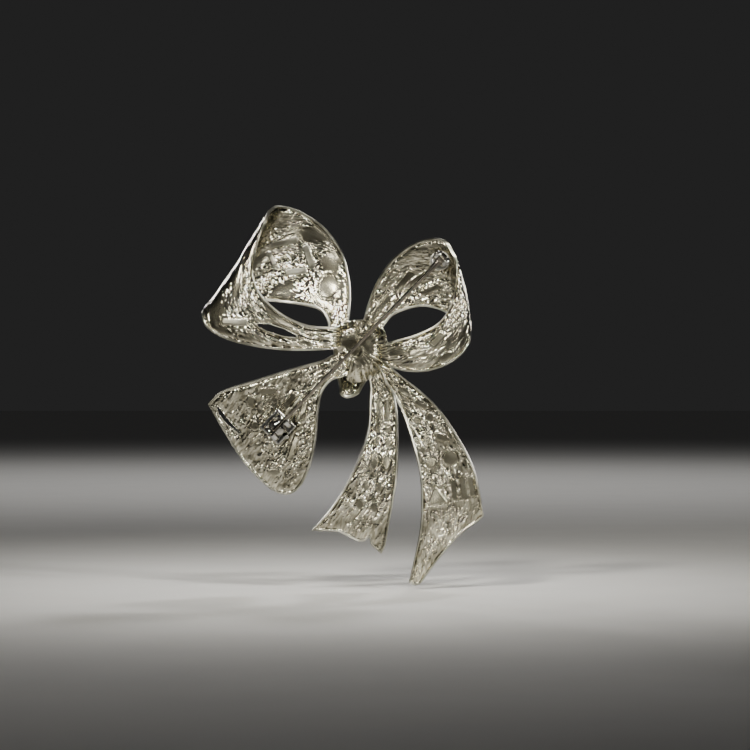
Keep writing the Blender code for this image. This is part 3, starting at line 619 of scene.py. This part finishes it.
def reliefOf(settings, points, normal, side, travel, across, share, borderGap):
    # how far the surface stands out, how much it is a rim or a seat's back, and how much painted shade
    # darkens its grooves
    def noise(size, shift):
        return latticeNoise(travel / relief[size][0], across / relief[size][1], settings["seed"] + shift)

    facing = -(normal * side)[..., 1]
    back = smoothStep(-0.15, 0.25, facing)
    rimWidth = settings["rimWidth"]
    rim = 1 - smoothStep(rimWidth * 0.8, rimWidth * 1.2, borderGap)
    if "freeEnds" not in settings:
        rim *= smoothStep(*relief["rootFade"], np.hypot(points[..., 0] - relief["rootX"], points[..., 2]))
    pad, pale, ridge = seatsOf(settings, points)
    pad *= back * (1 - rim)
    ridge *= back * (1 - rim) * (1 - pad)
    sheen = smoothStep(-0.05, 0.35, noise("satinSize", 8) + relief["speck"] * noise("speckSize", 9))
    sheen *= settings.get("satinPatches", relief["satin"]) * back * (1 - rim) * (1 - pad)
    calm = (1 - rim) * (1 - pad) * (1 - sheen)
    lines, broken = castLines(settings, points, facing, travel, across, noise)
    stands = back * (calm * lines + relief["seatRidge"] * ridge * broken + relief["padHeight"] * pad)
    stands += (1 - back) * calm * relief["frontLine"] * noise("frontSize", 4)
    stands += (relief["wave"] * noise("waveSize", 0) + relief["ripple"] * noise("rippleSize", 1)) * (1 - rim)
    stands += rim * (relief["rimHeight"] * back - relief["frontEase"] * (1 - back))
    stands -= relief["rimGroove"] * back * bell(borderGap, rimWidth * 1.45, relief["rimGrooveWidth"])
    if "fins" in settings:
        stands -= finsOf(settings["fins"], points) * back
    if "pleats" in settings:
        stands += (1 - back) * relief["pleat"] * np.cos(share * settings["pleats"] * 2 * np.pi) * (1 - rim)
    # painted shade in the low parts of the cast lines
    shadeAndTone = back * calm * smoothStep(*relief["grooveShade"], lines)
    rim = np.maximum(rim, pale * back * settings.get("paleSeats", 0.0))
    return stands, rim, np.maximum(pad, sheen), shadeAndTone


def gridSide(bm, surface, travel, across, values):   # one face of a wall, its texture in centimetres
    rows, columns = travel.shape[0] - 1, travel.shape[1] - 1
    uvLayer = bm.loops.layers.uv.verify()
    layers = [bm.verts.layers.float[name] for name in layerNames]
    for vert in bmesh.ops.create_grid(bm, x_segments=columns, y_segments=rows, size=0.5)["verts"]:
        column = round((vert.co.x + 0.5) * columns)
        row = round((vert.co.y + 0.5) * rows)
        vert.co = surface[row, column] * mm
        for layer, value in zip(layers, values):
            vert[layer] = value[row, column]
        for loop in vert.link_loops:
            loop[uvLayer].uv = (travel[row, column] / 10, across[row, column] / 10)


def easeEdges(bm, edges, width, segments=2):
    bmesh.ops.bevel(bm, geom=edges, offset=width * mm, offset_type="OFFSET", segments=segments, profile=0.5,
                    affect="EDGES", material=-1, clamp_overlap=True)


def closeWall(bm, rounding):   # joins the two faces along their free edges and rounds the corner
    edges = [edge for edge in bm.edges if edge.is_boundary]
    bmesh.ops.bridge_loops(bm, edges=edges)
    rimLayer = bm.verts.layers.float["rim"]
    for vert in {vert for edge in edges for vert in edge.verts}:
        vert[rimLayer] = 1.0
    easeEdges(bm, edges, rounding)
    bmesh.ops.recalc_face_normals(bm, faces=bm.faces)


def newWall():
    bm = bmesh.new()
    bm.loops.layers.uv.new("along")
    for name in layerNames:
        bm.verts.layers.float.new(name)
    return bm


def makeRibbon(settings):
    share, points = layRibbon(settings)
    normal = unitNormals(points)
    x, y, z = (points[..., axis] for axis in range(3))
    width = np.linalg.norm(points[:, -1] - points[:, 0], axis=1)[:, None] * np.ones_like(share)
    step = np.linalg.norm(np.diff(points, axis=0), axis=2)
    travel = np.vstack([np.zeros(share.shape[1]), np.cumsum(step, axis=0)])
    across = (share - 0.5) * width
    borderGap = np.minimum(share, 1 - share) * width
    if "within" in settings:
        borderGap = np.minimum(borderGap, distanceToOutline(settings["within"], x, z))
    if "freeEnds" in settings:
        borderGap = np.minimum(borderGap, travel[-1:] - travel)
    if "slit" in settings:
        outline, (near, far) = settings["slit"]
        slitGap = distanceToOutline(outline, x, z) + settings["rimWidth"] * relief["slitRim"]
        borderGap = np.where((y > near) & (y < far), np.minimum(borderGap, slitGap), borderGap)
    thinned = relief["edgeThin"] * (1 - smoothStep(0.0, relief["edgeThinReach"], borderGap))
    half = relief["wall"] / 2 * (1 - thinned)
    bm = newWall()
    for side in (1, -1):
        stands, *values = reliefOf(settings, points, normal, side, travel, across, share, borderGap)
        surface = points + normal * side * (half + stands)[..., None]
        gridSide(bm, surface, travel, across, values)
    closeWall(bm, relief["edgeRound"])
    piece = finishPiece(bm, settings["node"] + "_cast", castPlating)
    if "slit" in settings:
        cutSlit(piece, *settings["slit"])
    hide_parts(settings["node"])
    print(settings["node"], "made,", len(piece.data.polygons), "faces")


def cutWith(piece, shape, overlapping=False):   # takes a closed shape away from a piece
    mesh = meshOf(shape, "cutter")
    tool = newObject("cutter", mesh)
    cut = piece.modifiers.new("cut", "BOOLEAN")
    cut.operation = "DIFFERENCE"
    cut.object = tool
    cut.solver = "EXACT"
    cut.use_self = overlapping
    shaped = bpy.data.meshes.new_from_object(piece.evaluated_get(bpy.context.evaluated_depsgraph_get()))
    piece.modifiers.clear()
    piece.data = shaped
    bpy.data.objects.remove(tool)
    bpy.data.meshes.remove(mesh)


def cutSlit(piece, outline, depths):
    near, far = depths
    bm = bmesh.new()
    ring = bmesh.ops.create_circle(bm, segments=len(outline), radius=1.0, cap_ends=True)["verts"]
    for vert, (x, z) in zip(ring, outline):
        vert.co = (x * mm, near * mm, z * mm)
    grown = bmesh.ops.extrude_face_region(bm, geom=bm.faces[:])["geom"]
    moved = [item for item in grown if isinstance(item, bmesh.types.BMVert)]
    bmesh.ops.translate(bm, vec=(0, (far - near) * mm, 0), verts=moved)
    bmesh.ops.recalc_face_normals(bm, faces=bm.faces)
    cutWith(piece, bm)


for settings in (upperLeftLoop, upperRightLoop, lowerLeftLoop, shortTail, longTail, centreKnot):
    makeRibbon(settings)


# the plate under the ribbons' roots, with a fluted skirt that runs out onto them

backPlate = {
    "columns": 300, "rows": 70, "seed": 71, "wall": 0.7, "edgeRound": 0.12, "skirt": 2.1,
    "flat": 0.70, "reach": 1.06, "reachSide": 0.24,   # shares of the CAD plate's own radius
    "flutes": 31, "fluteDepth": 0.19, "fluteSide": math.radians(-50), "fluteWander": 1.2,
    "flutesElsewhere": 0.15, "unevenness": 0.09, "grit": 0.10, "texture": (5.0, 3.0),
}
plateDish = {
    "middle": (0.4, -0.9), "half": (1.25, 0.85), "turn": math.radians(45),
    "depth": 0.30, "lip": 0.08, "lipAt": 1.15, "lipWidth": 0.14,
}
plateCup = {
    "middle": (1.7, 4.1), "radius": 1.15, "height": 0.50, "wall": 0.20,
    "moat": 0.16, "moatGap": 0.42, "moatWidth": 0.18, "grit": 0.14,
}


def edgeOfNode(node, centre, angles):   # how far the node's outline lies from a point inside it
    tree = BVHTree.FromPolygons([vert.co for vert in node.data.vertices],
                                [tuple(face.vertices) for face in node.data.polygons])
    reach = []
    for angle in angles:
        hit = tree.ray_cast(centre, Vector((math.cos(angle), 0, math.sin(angle))))
        reach.append(hit[3] / mm)
    return np.array(reach)


def makePlate():
    low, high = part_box("back_plate")
    centre = (Vector(low) + Vector(high)) / 2
    angle = np.linspace(0, 2 * np.pi, backPlate["columns"] + 1)
    edge = edgeOfNode(cadNodes["back_plate"], centre, angle)
    share = np.linspace(0, backPlate["reach"], backPlate["rows"] + 1)[:, None] * np.ones_like(angle)
    turn = np.ones_like(share) * angle
    side = smoothStep(-0.5, 0.6, np.cos(turn - backPlate["fluteSide"]))   # 1 towards the fluted side
    radius = share * edge * (1 + backPlate["reachSide"] * side * smoothStep(0.4, 1.0, share))
    x = centre.x / mm + radius * np.cos(turn)
    z = centre.z / mm + radius * np.sin(turn)

    def noise(size, shift):
        return latticeNoise(x / size, z / size, backPlate["seed"] + shift)

    ragged = share + 0.22 * noise(1.4, 4) + 0.10 * noise(0.5, 5)   # so that the smooth part ends unevenly
    elsewhere = backPlate["flutesElsewhere"]
    fluted = smoothStep(0.50, 1.0, ragged) * (elsewhere + (1 - elsewhere) * side)
    ripple = np.cos(turn * backPlate["flutes"] + backPlate["fluteWander"] * noise(1.5, 0))
    flutes = backPlate["fluteDepth"] * fluted * ripple
    uneven = backPlate["unevenness"] * noise(1.6, 1)
    slope = smoothStep(backPlate["flat"], backPlate["reach"], share)

    a, b = turnedPlace(x, z, plateDish["middle"], plateDish["turn"])
    fromDish = np.hypot(a / plateDish["half"][0], b / plateDish["half"][1])
    dish = plateDish["depth"] * (1 - smoothStep(0.55, 1.0, fromDish))
    dish -= plateDish["lip"] * bell(fromDish, plateDish["lipAt"], plateDish["lipWidth"])

    cupRadius = plateCup["radius"]
    fromCup = np.hypot(x - plateCup["middle"][0], z - plateCup["middle"][1])
    inCup = 1 - smoothStep(cupRadius * 0.7, cupRadius, fromCup)
    awayFromCup = smoothStep(cupRadius, cupRadius * 1.7, fromCup)
    cup = -plateCup["height"] * bell(fromCup, cupRadius, plateCup["wall"])
    cup += plateCup["moat"] * bell(fromCup, cupRadius + plateCup["moatGap"], plateCup["moatWidth"])
    cup += plateCup["grit"] * inCup * noise(0.45, 2)

    smoothPart = (1 - smoothStep(0.55, 0.80, ragged)) * (1 - inCup)
    spots = backPlate["grit"] * (1 - smoothPart) * (noise(0.45, 6) + noise(0.9, 7))
    y = (backPlate["skirt"] * slope + flutes + uneven + spots) * awayFromCup + dish + cup
    rim = 0.6 * bell(fromCup, cupRadius, plateCup["wall"] * 1.2)
    mottle = 0.5 + 0.5 * noise(0.7, 8)
    # painted shade: darker down in the flutes and inside the cup; the smooth part gets a darker mottled tone,
    # with more painted shade in the dish
    shadeAndTone = smoothStep(0.3, 0.9, flutes / backPlate["fluteDepth"]) * fluted * 0.6
    shadeAndTone = np.maximum(shadeAndTone, 0.6 * inCup)
    inDish = 1 - smoothStep(0.8, 1.0, fromDish)
    shadeAndTone = np.maximum(shadeAndTone, smoothPart * (0.35 + 0.3 * mottle + 0.3 * inDish))
    textureOut, textureRound = share * backPlate["texture"][0], turn * backPlate["texture"][1]
    bm = newWall()
    for depth in (0.0, backPlate["wall"]):
        surface = np.stack([x, y + depth, z], axis=2)
        gridSide(bm, surface, textureOut, textureRound, (rim, smoothPart, shadeAndTone))
    bmesh.ops.remove_doubles(bm, verts=bm.verts, dist=0.0005 * mm)
    closeWall(bm, backPlate["edgeRound"])
    piece = finishPiece(bm, "back_plate_cast", castPlating)
    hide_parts("back_plate")


makePlate()
print("plate made")


# cups and prongs round the stones, cast in one with each ribbon

stoneSetting = {
    "points": 36, "shine": 0.8,
    # the cup's wall, each place by how far outside the stone it lies and how high
    "wall": [(0.03, -1.30), (0.42, -1.30), (0.34, -0.25), (0.30, 0.05), (0.20, 0.14), (0.06, 0.10)],
    "prongRadius": 0.24, "prongFlat": 0.7, "prongOut": 0.20, "prongLean": 0.10,
    "prongLow": -0.9, "prongHigh": 0.42, "cornerGap": 0.7,
}


def outlineRing(stone, offset, count):   # evenly spaced places round the stone, that far outside it
    corners = stone["outline"]
    ends = np.roll(corners, -1, axis=0)
    sides = np.linalg.norm(ends - corners, axis=1)
    start = np.concatenate([[0], np.cumsum(sides)])
    places = np.arange(count) * start[-1] / count
    index = np.searchsorted(start, places, side="right") - 1
    part = ((places - start[index]) / sides[index])[:, None]
    ring = corners[index] * (1 - part) + ends[index] * part
    facing = stone["facing"]
    before = np.roll(facing, 1, axis=0)
    after = np.roll(facing, -1, axis=0)
    way = np.where(part < 0.5, before[index] * (0.5 - part) + facing[index] * (0.5 + part),
                   facing[index] * (1.5 - part) + after[index] * (part - 0.5))
    return ring + way / np.linalg.norm(way, axis=1)[:, None] * offset


def prongPlaces(stone):
    half = stone["half"]
    if stone["cut"] == "marquise":
        return [np.array([sign * half[0], 0.0]) for sign in (-1, 1)]
    if stone["cut"] not in ("baguette", "trapezoid", "triangle"):
        return [np.array([math.cos(turn) * half[0], math.sin(turn) * half[1]])
                for turn in (math.pi * (0.25 + 0.5 * step) for step in range(4))]
    outline = stone["outline"]
    corners = []
    for index in np.argsort(-np.hypot(outline[:, 0], outline[:, 1])):
        if all(np.hypot(*(outline[index] - corner)) > stoneSetting["cornerGap"] for corner in corners):
            corners.append(outline[index])
    return corners[:3 if stone["cut"] == "triangle" else 4]


def stonePlace(stone, local):   # from the stone's own millimetres to the scene
    return (stone["centre"] + local @ np.array([stone["along"], stone["wide"], stone["up"]])) * mm


def addCup(bm, stone):
    count = stoneSetting["points"]
    rings = []
    for offset, height in stoneSetting["wall"]:
        flat = outlineRing(stone, offset, count)
        places = stonePlace(stone, np.column_stack([flat, np.full(count, height)]))
        circle = bmesh.ops.create_circle(bm, segments=count, radius=1.0)["verts"]
        for vert, place in zip(circle, places):
            vert.co = place
        rings.append(list(dict.fromkeys(edge for vert in circle for edge in vert.link_edges)))
    for low, high in zip(rings, rings[1:] + rings[:1]):
        bmesh.ops.bridge_loops(bm, edges=low + high)


def addProngs(bm, stone):   # each is a ball drawn out into a leaning stick with a flattened head
    low, high = stoneSetting["prongLow"], stoneSetting["prongHigh"]
    for corner in prongPlaces(stone):
        away = corner / max(np.hypot(*corner), 1e-6)
        ball = bmesh.ops.create_uvsphere(bm, u_segments=10, v_segments=8, radius=stoneSetting["prongRadius"])
        for vert in ball["verts"]:
            x, y, z = vert.co
            tall = low + z if z < 0.01 else high + z * stoneSetting["prongFlat"]
            lean = stoneSetting["prongOut"] - stoneSetting["prongLean"] * (tall - low) / (high - low)
            flat = corner + away * lean + np.array([x, y])
            vert.co = stonePlace(stone, np.array([*flat, tall]))


def makeSettings(settings):
    bm = newWall()
    for stone in stonesOf(settings):
        addCup(bm, stone)
        addProngs(bm, stone)
    bmesh.ops.recalc_face_normals(bm, faces=bm.faces)
    rimLayer = bm.verts.layers.float["rim"]
    for vert in bm.verts:
        vert[rimLayer] = stoneSetting["shine"]
    piece = finishPiece(bm, settings["node"] + "_settings", castPlating)
    print(settings["node"], "settings made,", len(piece.data.polygons), "faces")


for settings in (upperLeftLoop, upperRightLoop, lowerLeftLoop, shortTail, longTail):
    makeSettings(settings)


# hinge, pin and catch

joints = {joint["name"]: joint for joint in frame["joints"]}
stemWay = Vector(joints["safety_turn"]["axis"]).normalized()
outWay = Vector((0, -1, 0))
sideWay = outWay.cross(stemWay)
pinTurn = Matrix((stemWay, sideWay, outWay)).transposed().to_4x4()   # X along the stem, Z away from the bow
hingePlace = Matrix.Translation(Vector(joints["pin_swing"]["pos_m"])) @ pinTurn
catchPlace = Matrix.Translation(Vector(joints["safety_turn"]["pos_m"])) @ pinTurn


def refinedCopy(node, bevel):   # the node's shape with its edges eased
    bm = bmesh.new()
    bm.from_mesh(cadNodes[node].data)
    bmesh.ops.remove_doubles(bm, verts=bm.verts, dist=0.002 * mm)
    bmesh.ops.dissolve_limit(bm, angle_limit=math.radians(3), verts=bm.verts, edges=bm.edges)
    sharp = [edge for edge in bm.edges if edge.calc_face_angle(0) > math.radians(35)]
    easeEdges(bm, sharp, bevel)
    piece = finishPiece(bm, node + "_finished", findingSteel)
    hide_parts(node)


def easedBox(half, corner):   # a block with its upright corners well rounded
    bm = bmesh.new()
    bmesh.ops.create_cube(bm, size=2.0)
    bmesh.ops.scale(bm, vec=Vector(half) * mm, verts=bm.verts)
    upright = [edge for edge in bm.edges if abs((edge.verts[0].co - edge.verts[1].co).normalized().z) > 0.9]
    easeEdges(bm, upright, corner, 4)
    flat = [edge for edge in bm.edges if edge.calc_face_angle(0) > math.radians(60)]
    easeEdges(bm, flat, corner * 0.4)
    return bm


def turned(profile, axis, steps):   # spins (radius, along) places about X or Z into a closed round shape
    bm = bmesh.new()
    for radius, along in profile:
        bm.verts.new((along * mm, 0, radius * mm) if axis == "X" else (radius * mm, 0, along * mm))
    verts = bm.verts[:]
    for start, end in zip(verts, verts[1:]):
        bm.edges.new((start, end))
    if profile[0][0] > 0:   # a ring's profile runs back to its start
        bm.edges.new((verts[-1], verts[0]))
    way = (1, 0, 0) if axis == "X" else (0, 0, 1)
    bmesh.ops.spin(bm, geom=bm.verts[:] + bm.edges[:], cent=(0, 0, 0), axis=way, angle=2 * math.pi,
                   steps=steps, use_merge=True)
    bmesh.ops.remove_doubles(bm, verts=bm.verts, dist=0.001 * mm)
    bmesh.ops.recalc_face_normals(bm, faces=bm.faces)
    return bm


def footLevel(node, place):   # how far along Z of that place the foot's underside lies
    low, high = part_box(node)
    return -(high[1] - place.translation.y) / mm


catchPlate = {
    "half": 2.50, "thick": 0.55, "rise": 0.80, "corner": 0.30, "border": 0.32, "sink": 0.22, "step": 0.05,
}


def makeCatchPlate():   # the square foot under the catch, turned in line with the stem
    half, thick = catchPlate["half"], catchPlate["thick"]
    bm = easedBox((half, half, thick / 2), catchPlate["corner"])
    top = max(bm.faces, key=lambda face: face.calc_center_median().z)
    bmesh.ops.inset_region(bm, faces=[top], thickness=catchPlate["border"] * mm, depth=0)
    bmesh.ops.inset_region(bm, faces=[top], thickness=catchPlate["step"] * mm, depth=-catchPlate["sink"] * mm)
    rise = footLevel("catch_base", catchPlace) + thick / 2 + catchPlate["rise"]
    bmesh.ops.transform(bm, matrix=catchPlace @ Matrix.Translation((0, 0, rise * mm)), verts=bm.verts)
    finishPiece(bm, "catch_plate", findingSteel)


solder = {"height": 0.40, "spread": 0.35, "sunk": 0.1, "uneven": 0.03}


def solderedFoot(name, node, place, radius, shift):   # a soft fillet of solder where a foot meets the casting
    spread, height = solder["spread"], solder["height"]
    profile = [(0.0, 0.05), (radius + spread, 0.0)]
    for turn in np.radians(range(18, 91, 18)):   # a quarter round in five steps
        profile.append((radius + spread * (1 - math.sin(turn)), height * (1 - math.cos(turn))))
    profile.append((0.0, height))
    bm = turned(profile, "Z", 40)
    rng = np.random.default_rng(5)
    for vert in bm.verts:
        vert.co *= 1 + solder["uneven"] * (rng.random() - 0.5)
    moved = Matrix.Translation((shift * mm, 0, (footLevel(node, place) - solder["sunk"]) * mm))
    bmesh.ops.transform(bm, matrix=place @ moved, verts=bm.verts)
    finishPiece(bm, name, solderMetal)


stem = {
    "radius": 0.38, "pastCatch": 3.0,
    "point": [(0.38, 6.0), (0.24, 1.6), (0.10, 0.2), (0.0, 0.0)],   # radius, distance from the tip
    "shankRadius": 0.56, "shankFrom": 0.8, "shankTo": 3.6, "shankTaper": 1.0,
    "eyeRadius": 1.05, "eyeHole": 0.50, "eyeHalf": 0.62, "eyeEase": 0.15,
}


def makeStem():   # drawn wire with a thicker shank, a point and a flat eye
    length = (catchPlace.translation - hingePlace.translation).length / mm + stem["pastCatch"]
    profile = [(0.0, stem["shankFrom"]), (stem["shankRadius"], stem["shankFrom"]),
               (stem["shankRadius"], stem["shankTo"] - stem["shankTaper"]), (stem["radius"], stem["shankTo"])]
    profile += [(radius, length - fromTip) for radius, fromTip in stem["point"]]
    bm = turned(profile, "X", 48)
    bmesh.ops.transform(bm, matrix=hingePlace, verts=bm.verts)
    hole, outer, half, ease = stem["eyeHole"], stem["eyeRadius"], stem["eyeHalf"], stem["eyeEase"]
    eye = turned([(hole, -half), (outer - ease, -half), (outer, -half + ease), (outer, half - ease),
                  (outer - ease, half), (hole, half)], "X", 48)
    bmesh.ops.transform(eye, matrix=hingePlace @ Matrix.Rotation(math.radians(90), 4, "Z"), verts=eye.verts)
    eyeMesh = meshOf(eye, "eye")
    bm.from_mesh(eyeMesh)
    bpy.data.meshes.remove(eyeMesh)
    piece = finishPiece(bm, "pin_stem_drawn", stemSteel, "pin")
    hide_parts("pin_stem")


roller = {
    "radius": 1.86, "endRadius": 1.20, "half": 1.22, "rows": 24,
    "ringAt": 0.62, "ringDepth": 0.10, "ringWidth": 0.09,
    "trunnion": 0.96, "trunnionHalf": 1.98, "trunnionEase": 0.08,
    "slotHalf": 0.44, "slotTall": 1.3, "slotMiddle": 0.8, "slotEase": 0.05,
    "tabRadius": 0.42, "tabFoot": 1.3, "tabReach": 3.05,
}


def makeRoller():   # polished barrel with two turned rings, its slot and its thumb tab
    trunnion, end, ease = roller["trunnion"], roller["trunnionHalf"], roller["trunnionEase"]
    profile = [(0.0, end), (trunnion - ease, end), (trunnion, end - ease), (trunnion, roller["half"])]
    for share in np.linspace(1, -1, roller["rows"] + 1):
        ring = roller["ringDepth"] * bell(abs(share), roller["ringAt"], roller["ringWidth"])
        swell = (roller["radius"] - roller["endRadius"]) * (1 - share * share)
        profile.append((roller["endRadius"] + swell - ring, share * roller["half"]))
    profile += [(radius, -along) for radius, along in profile[3::-1]]
    bm = turned(profile, "X", 72)
    tab = bmesh.ops.create_uvsphere(bm, u_segments=24, v_segments=16, radius=roller["tabRadius"] * mm)
    for vert in tab["verts"]:   # a ball drawn out into a stick
        x, y, z = vert.co
        vert.co = (x, (roller["tabReach"] - roller["tabRadius"] if z > 0 else roller["tabFoot"]) * mm + z, y)
    bmesh.ops.transform(bm, matrix=catchPlace, verts=bm.verts)
    piece = finishPiece(bm, "safety_roller_turned", rollerSteel, "safety")
    slot = easedBox((end * 1.2, roller["slotHalf"], roller["slotTall"]), roller["slotEase"])
    slotPlace = catchPlace @ Matrix.Translation((0, 0, roller["slotMiddle"] * mm))
    bmesh.ops.transform(slot, matrix=slotPlace, verts=slot.verts)
    cutWith(piece, slot, overlapping=True)
    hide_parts("safety_roller")


refinedCopy("hinge_base", 0.06)
refinedCopy("hinge_rivet", 0.04)
refinedCopy("catch_base", 0.05)
makeStem()
makeCatchPlate()
solderedFoot("hinge_solder", "hinge_base", hingePlace, radius=1.5, shift=0.4)
solderedFoot("catch_solder", "catch_base", catchPlace, radius=1.9, shift=0.0)
makeRoller()
print("findings made")


# stage, light and camera

studio = {
    "floorColour": (0.78, 0.77, 0.75),
    "floorHalf": 3.0,
    "floorDrop": 0.0006,
    "world": (0.02, 0.02, 0.02),
    "focalLength": 151.6,
    "cameraPlace": (0.0040, -0.60, -0.0051),
    "lights": [   # place, what it points at, size, power, beam in degrees, colour
        ("softPanel", (0.0, -0.80, 0.36), (0, 0, 0), (0.80, 0.40), 0.03, 180, (1.0, 0.95, 0.82)),
        ("sidePanel", (-0.70, -0.12, 0.12), (0, 0, 0), (0.60, 0.50), 0.10, 180, (1.0, 0.96, 0.86)),
        ("keyLight", (-0.22, -0.42, 0.34), (0, 0, 0), (0.07, 0.07), 0.056, 26, (1.0, 0.97, 0.88)),
        ("fillLight", (0.40, -0.34, 0.16), (0, 0, 0), (0.04, 0.12), 0.037, 26, (1.0, 0.98, 0.92)),
        ("topLight", (0.06, -0.30, 0.44), (0, 0, 0), (0.14, 0.04), 0.037, 26, (1.0, 0.98, 0.94)),
        ("cameraLight", (0.08, -0.56, 0.12), (0, 0, 0), (0.04, 0.04), 0.004, 26, (1.0, 0.97, 0.90)),
        ("leftLight", (-0.24, -0.52, 0.03), (0, 0, 0), (0.03, 0.06), 0.006, 26, (1.0, 0.97, 0.90)),
        ("rightLight", (0.22, -0.54, 0.0), (0, 0, 0), (0.03, 0.06), 0.005, 26, (1.0, 0.97, 0.90)),
        ("frontPanel", (0.0, 0.80, 0.38), (0, 0, 0), (0.70, 0.30), 0.10, 180, (1.0, 0.98, 0.95)),
        ("frontLight", (0.14, 0.42, 0.36), (0, 0, 0), (0.07, 0.07), 0.030, 26, (1.0, 0.98, 0.95)),
        ("frontLeft", (0.30, 0.46, 0.08), (0, 0, 0), (0.04, 0.10), 0.012, 26, (1.0, 0.98, 0.95)),
        ("frontRight", (-0.26, 0.50, 0.16), (0, 0, 0), (0.04, 0.06), 0.012, 26, (1.0, 0.98, 0.95)),
        ("floorLight", (0.0, 0.45, 0.60), (0, 0.60, -0.04), (0.40, 0.40), 0.5, 80, (1.0, 0.99, 0.97)),
    ],
}


def makeStage():
    bm = bmesh.new()
    bmesh.ops.create_grid(bm, x_segments=2, y_segments=2, size=studio["floorHalf"])
    bmesh.ops.translate(bm, vec=(0, 0, cadLow.z - studio["floorDrop"]), verts=bm.verts)
    floor = newObject("floor", meshOf(bm, "floor"))
    material, nodes, links, shader = newFinish("floorFinish")
    place = nodes.new("ShaderNodeTexCoord").outputs["Object"]
    paler = tuple(channel * 1.03 for channel in studio["floorColour"])
    grain = noiseNode(nodes, links, place, 60.0)
    tones = rampNode(nodes, links, grain, [(0.3, studio["floorColour"]), (0.7, paler)])
    links.new(tones, shader.inputs["Base Color"])
    shader.inputs["Roughness"].default_value = 0.8
    floor.data.materials.append(material)


def makeLights():
    for name, place, aim, size, power, beam, colour in studio["lights"]:
        lamp = bpy.data.lights.new(name, "AREA")
        lamp.shape = "RECTANGLE"
        lamp.size, lamp.size_y = size
        lamp.energy = power
        lamp.spread = math.radians(beam)
        lamp.color = colour
        holder = newObject(name, lamp)
        holder.location = place
        holder.rotation_euler = (Vector(aim) - Vector(place)).to_track_quat("-Z", "Y").to_euler()
    world = bpy.data.worlds.new("studioWorld")
    world.use_nodes = True
    world.node_tree.nodes["Background"].inputs["Color"].default_value = (*studio["world"], 1.0)
    bpy.context.scene.world = world


def makeCamera():
    lens = bpy.data.cameras.new("camera")
    lens.lens = studio["focalLength"]
    lens.sensor_width = 36.0
    lens.clip_start = 0.01
    holder = newObject("camera", lens)
    holder.location = studio["cameraPlace"]
    holder.rotation_euler = (math.radians(90), 0, 0)
    bpy.context.scene.camera = holder


makeStage()
makeLights()
makeCamera()
print("stage, light and camera made")
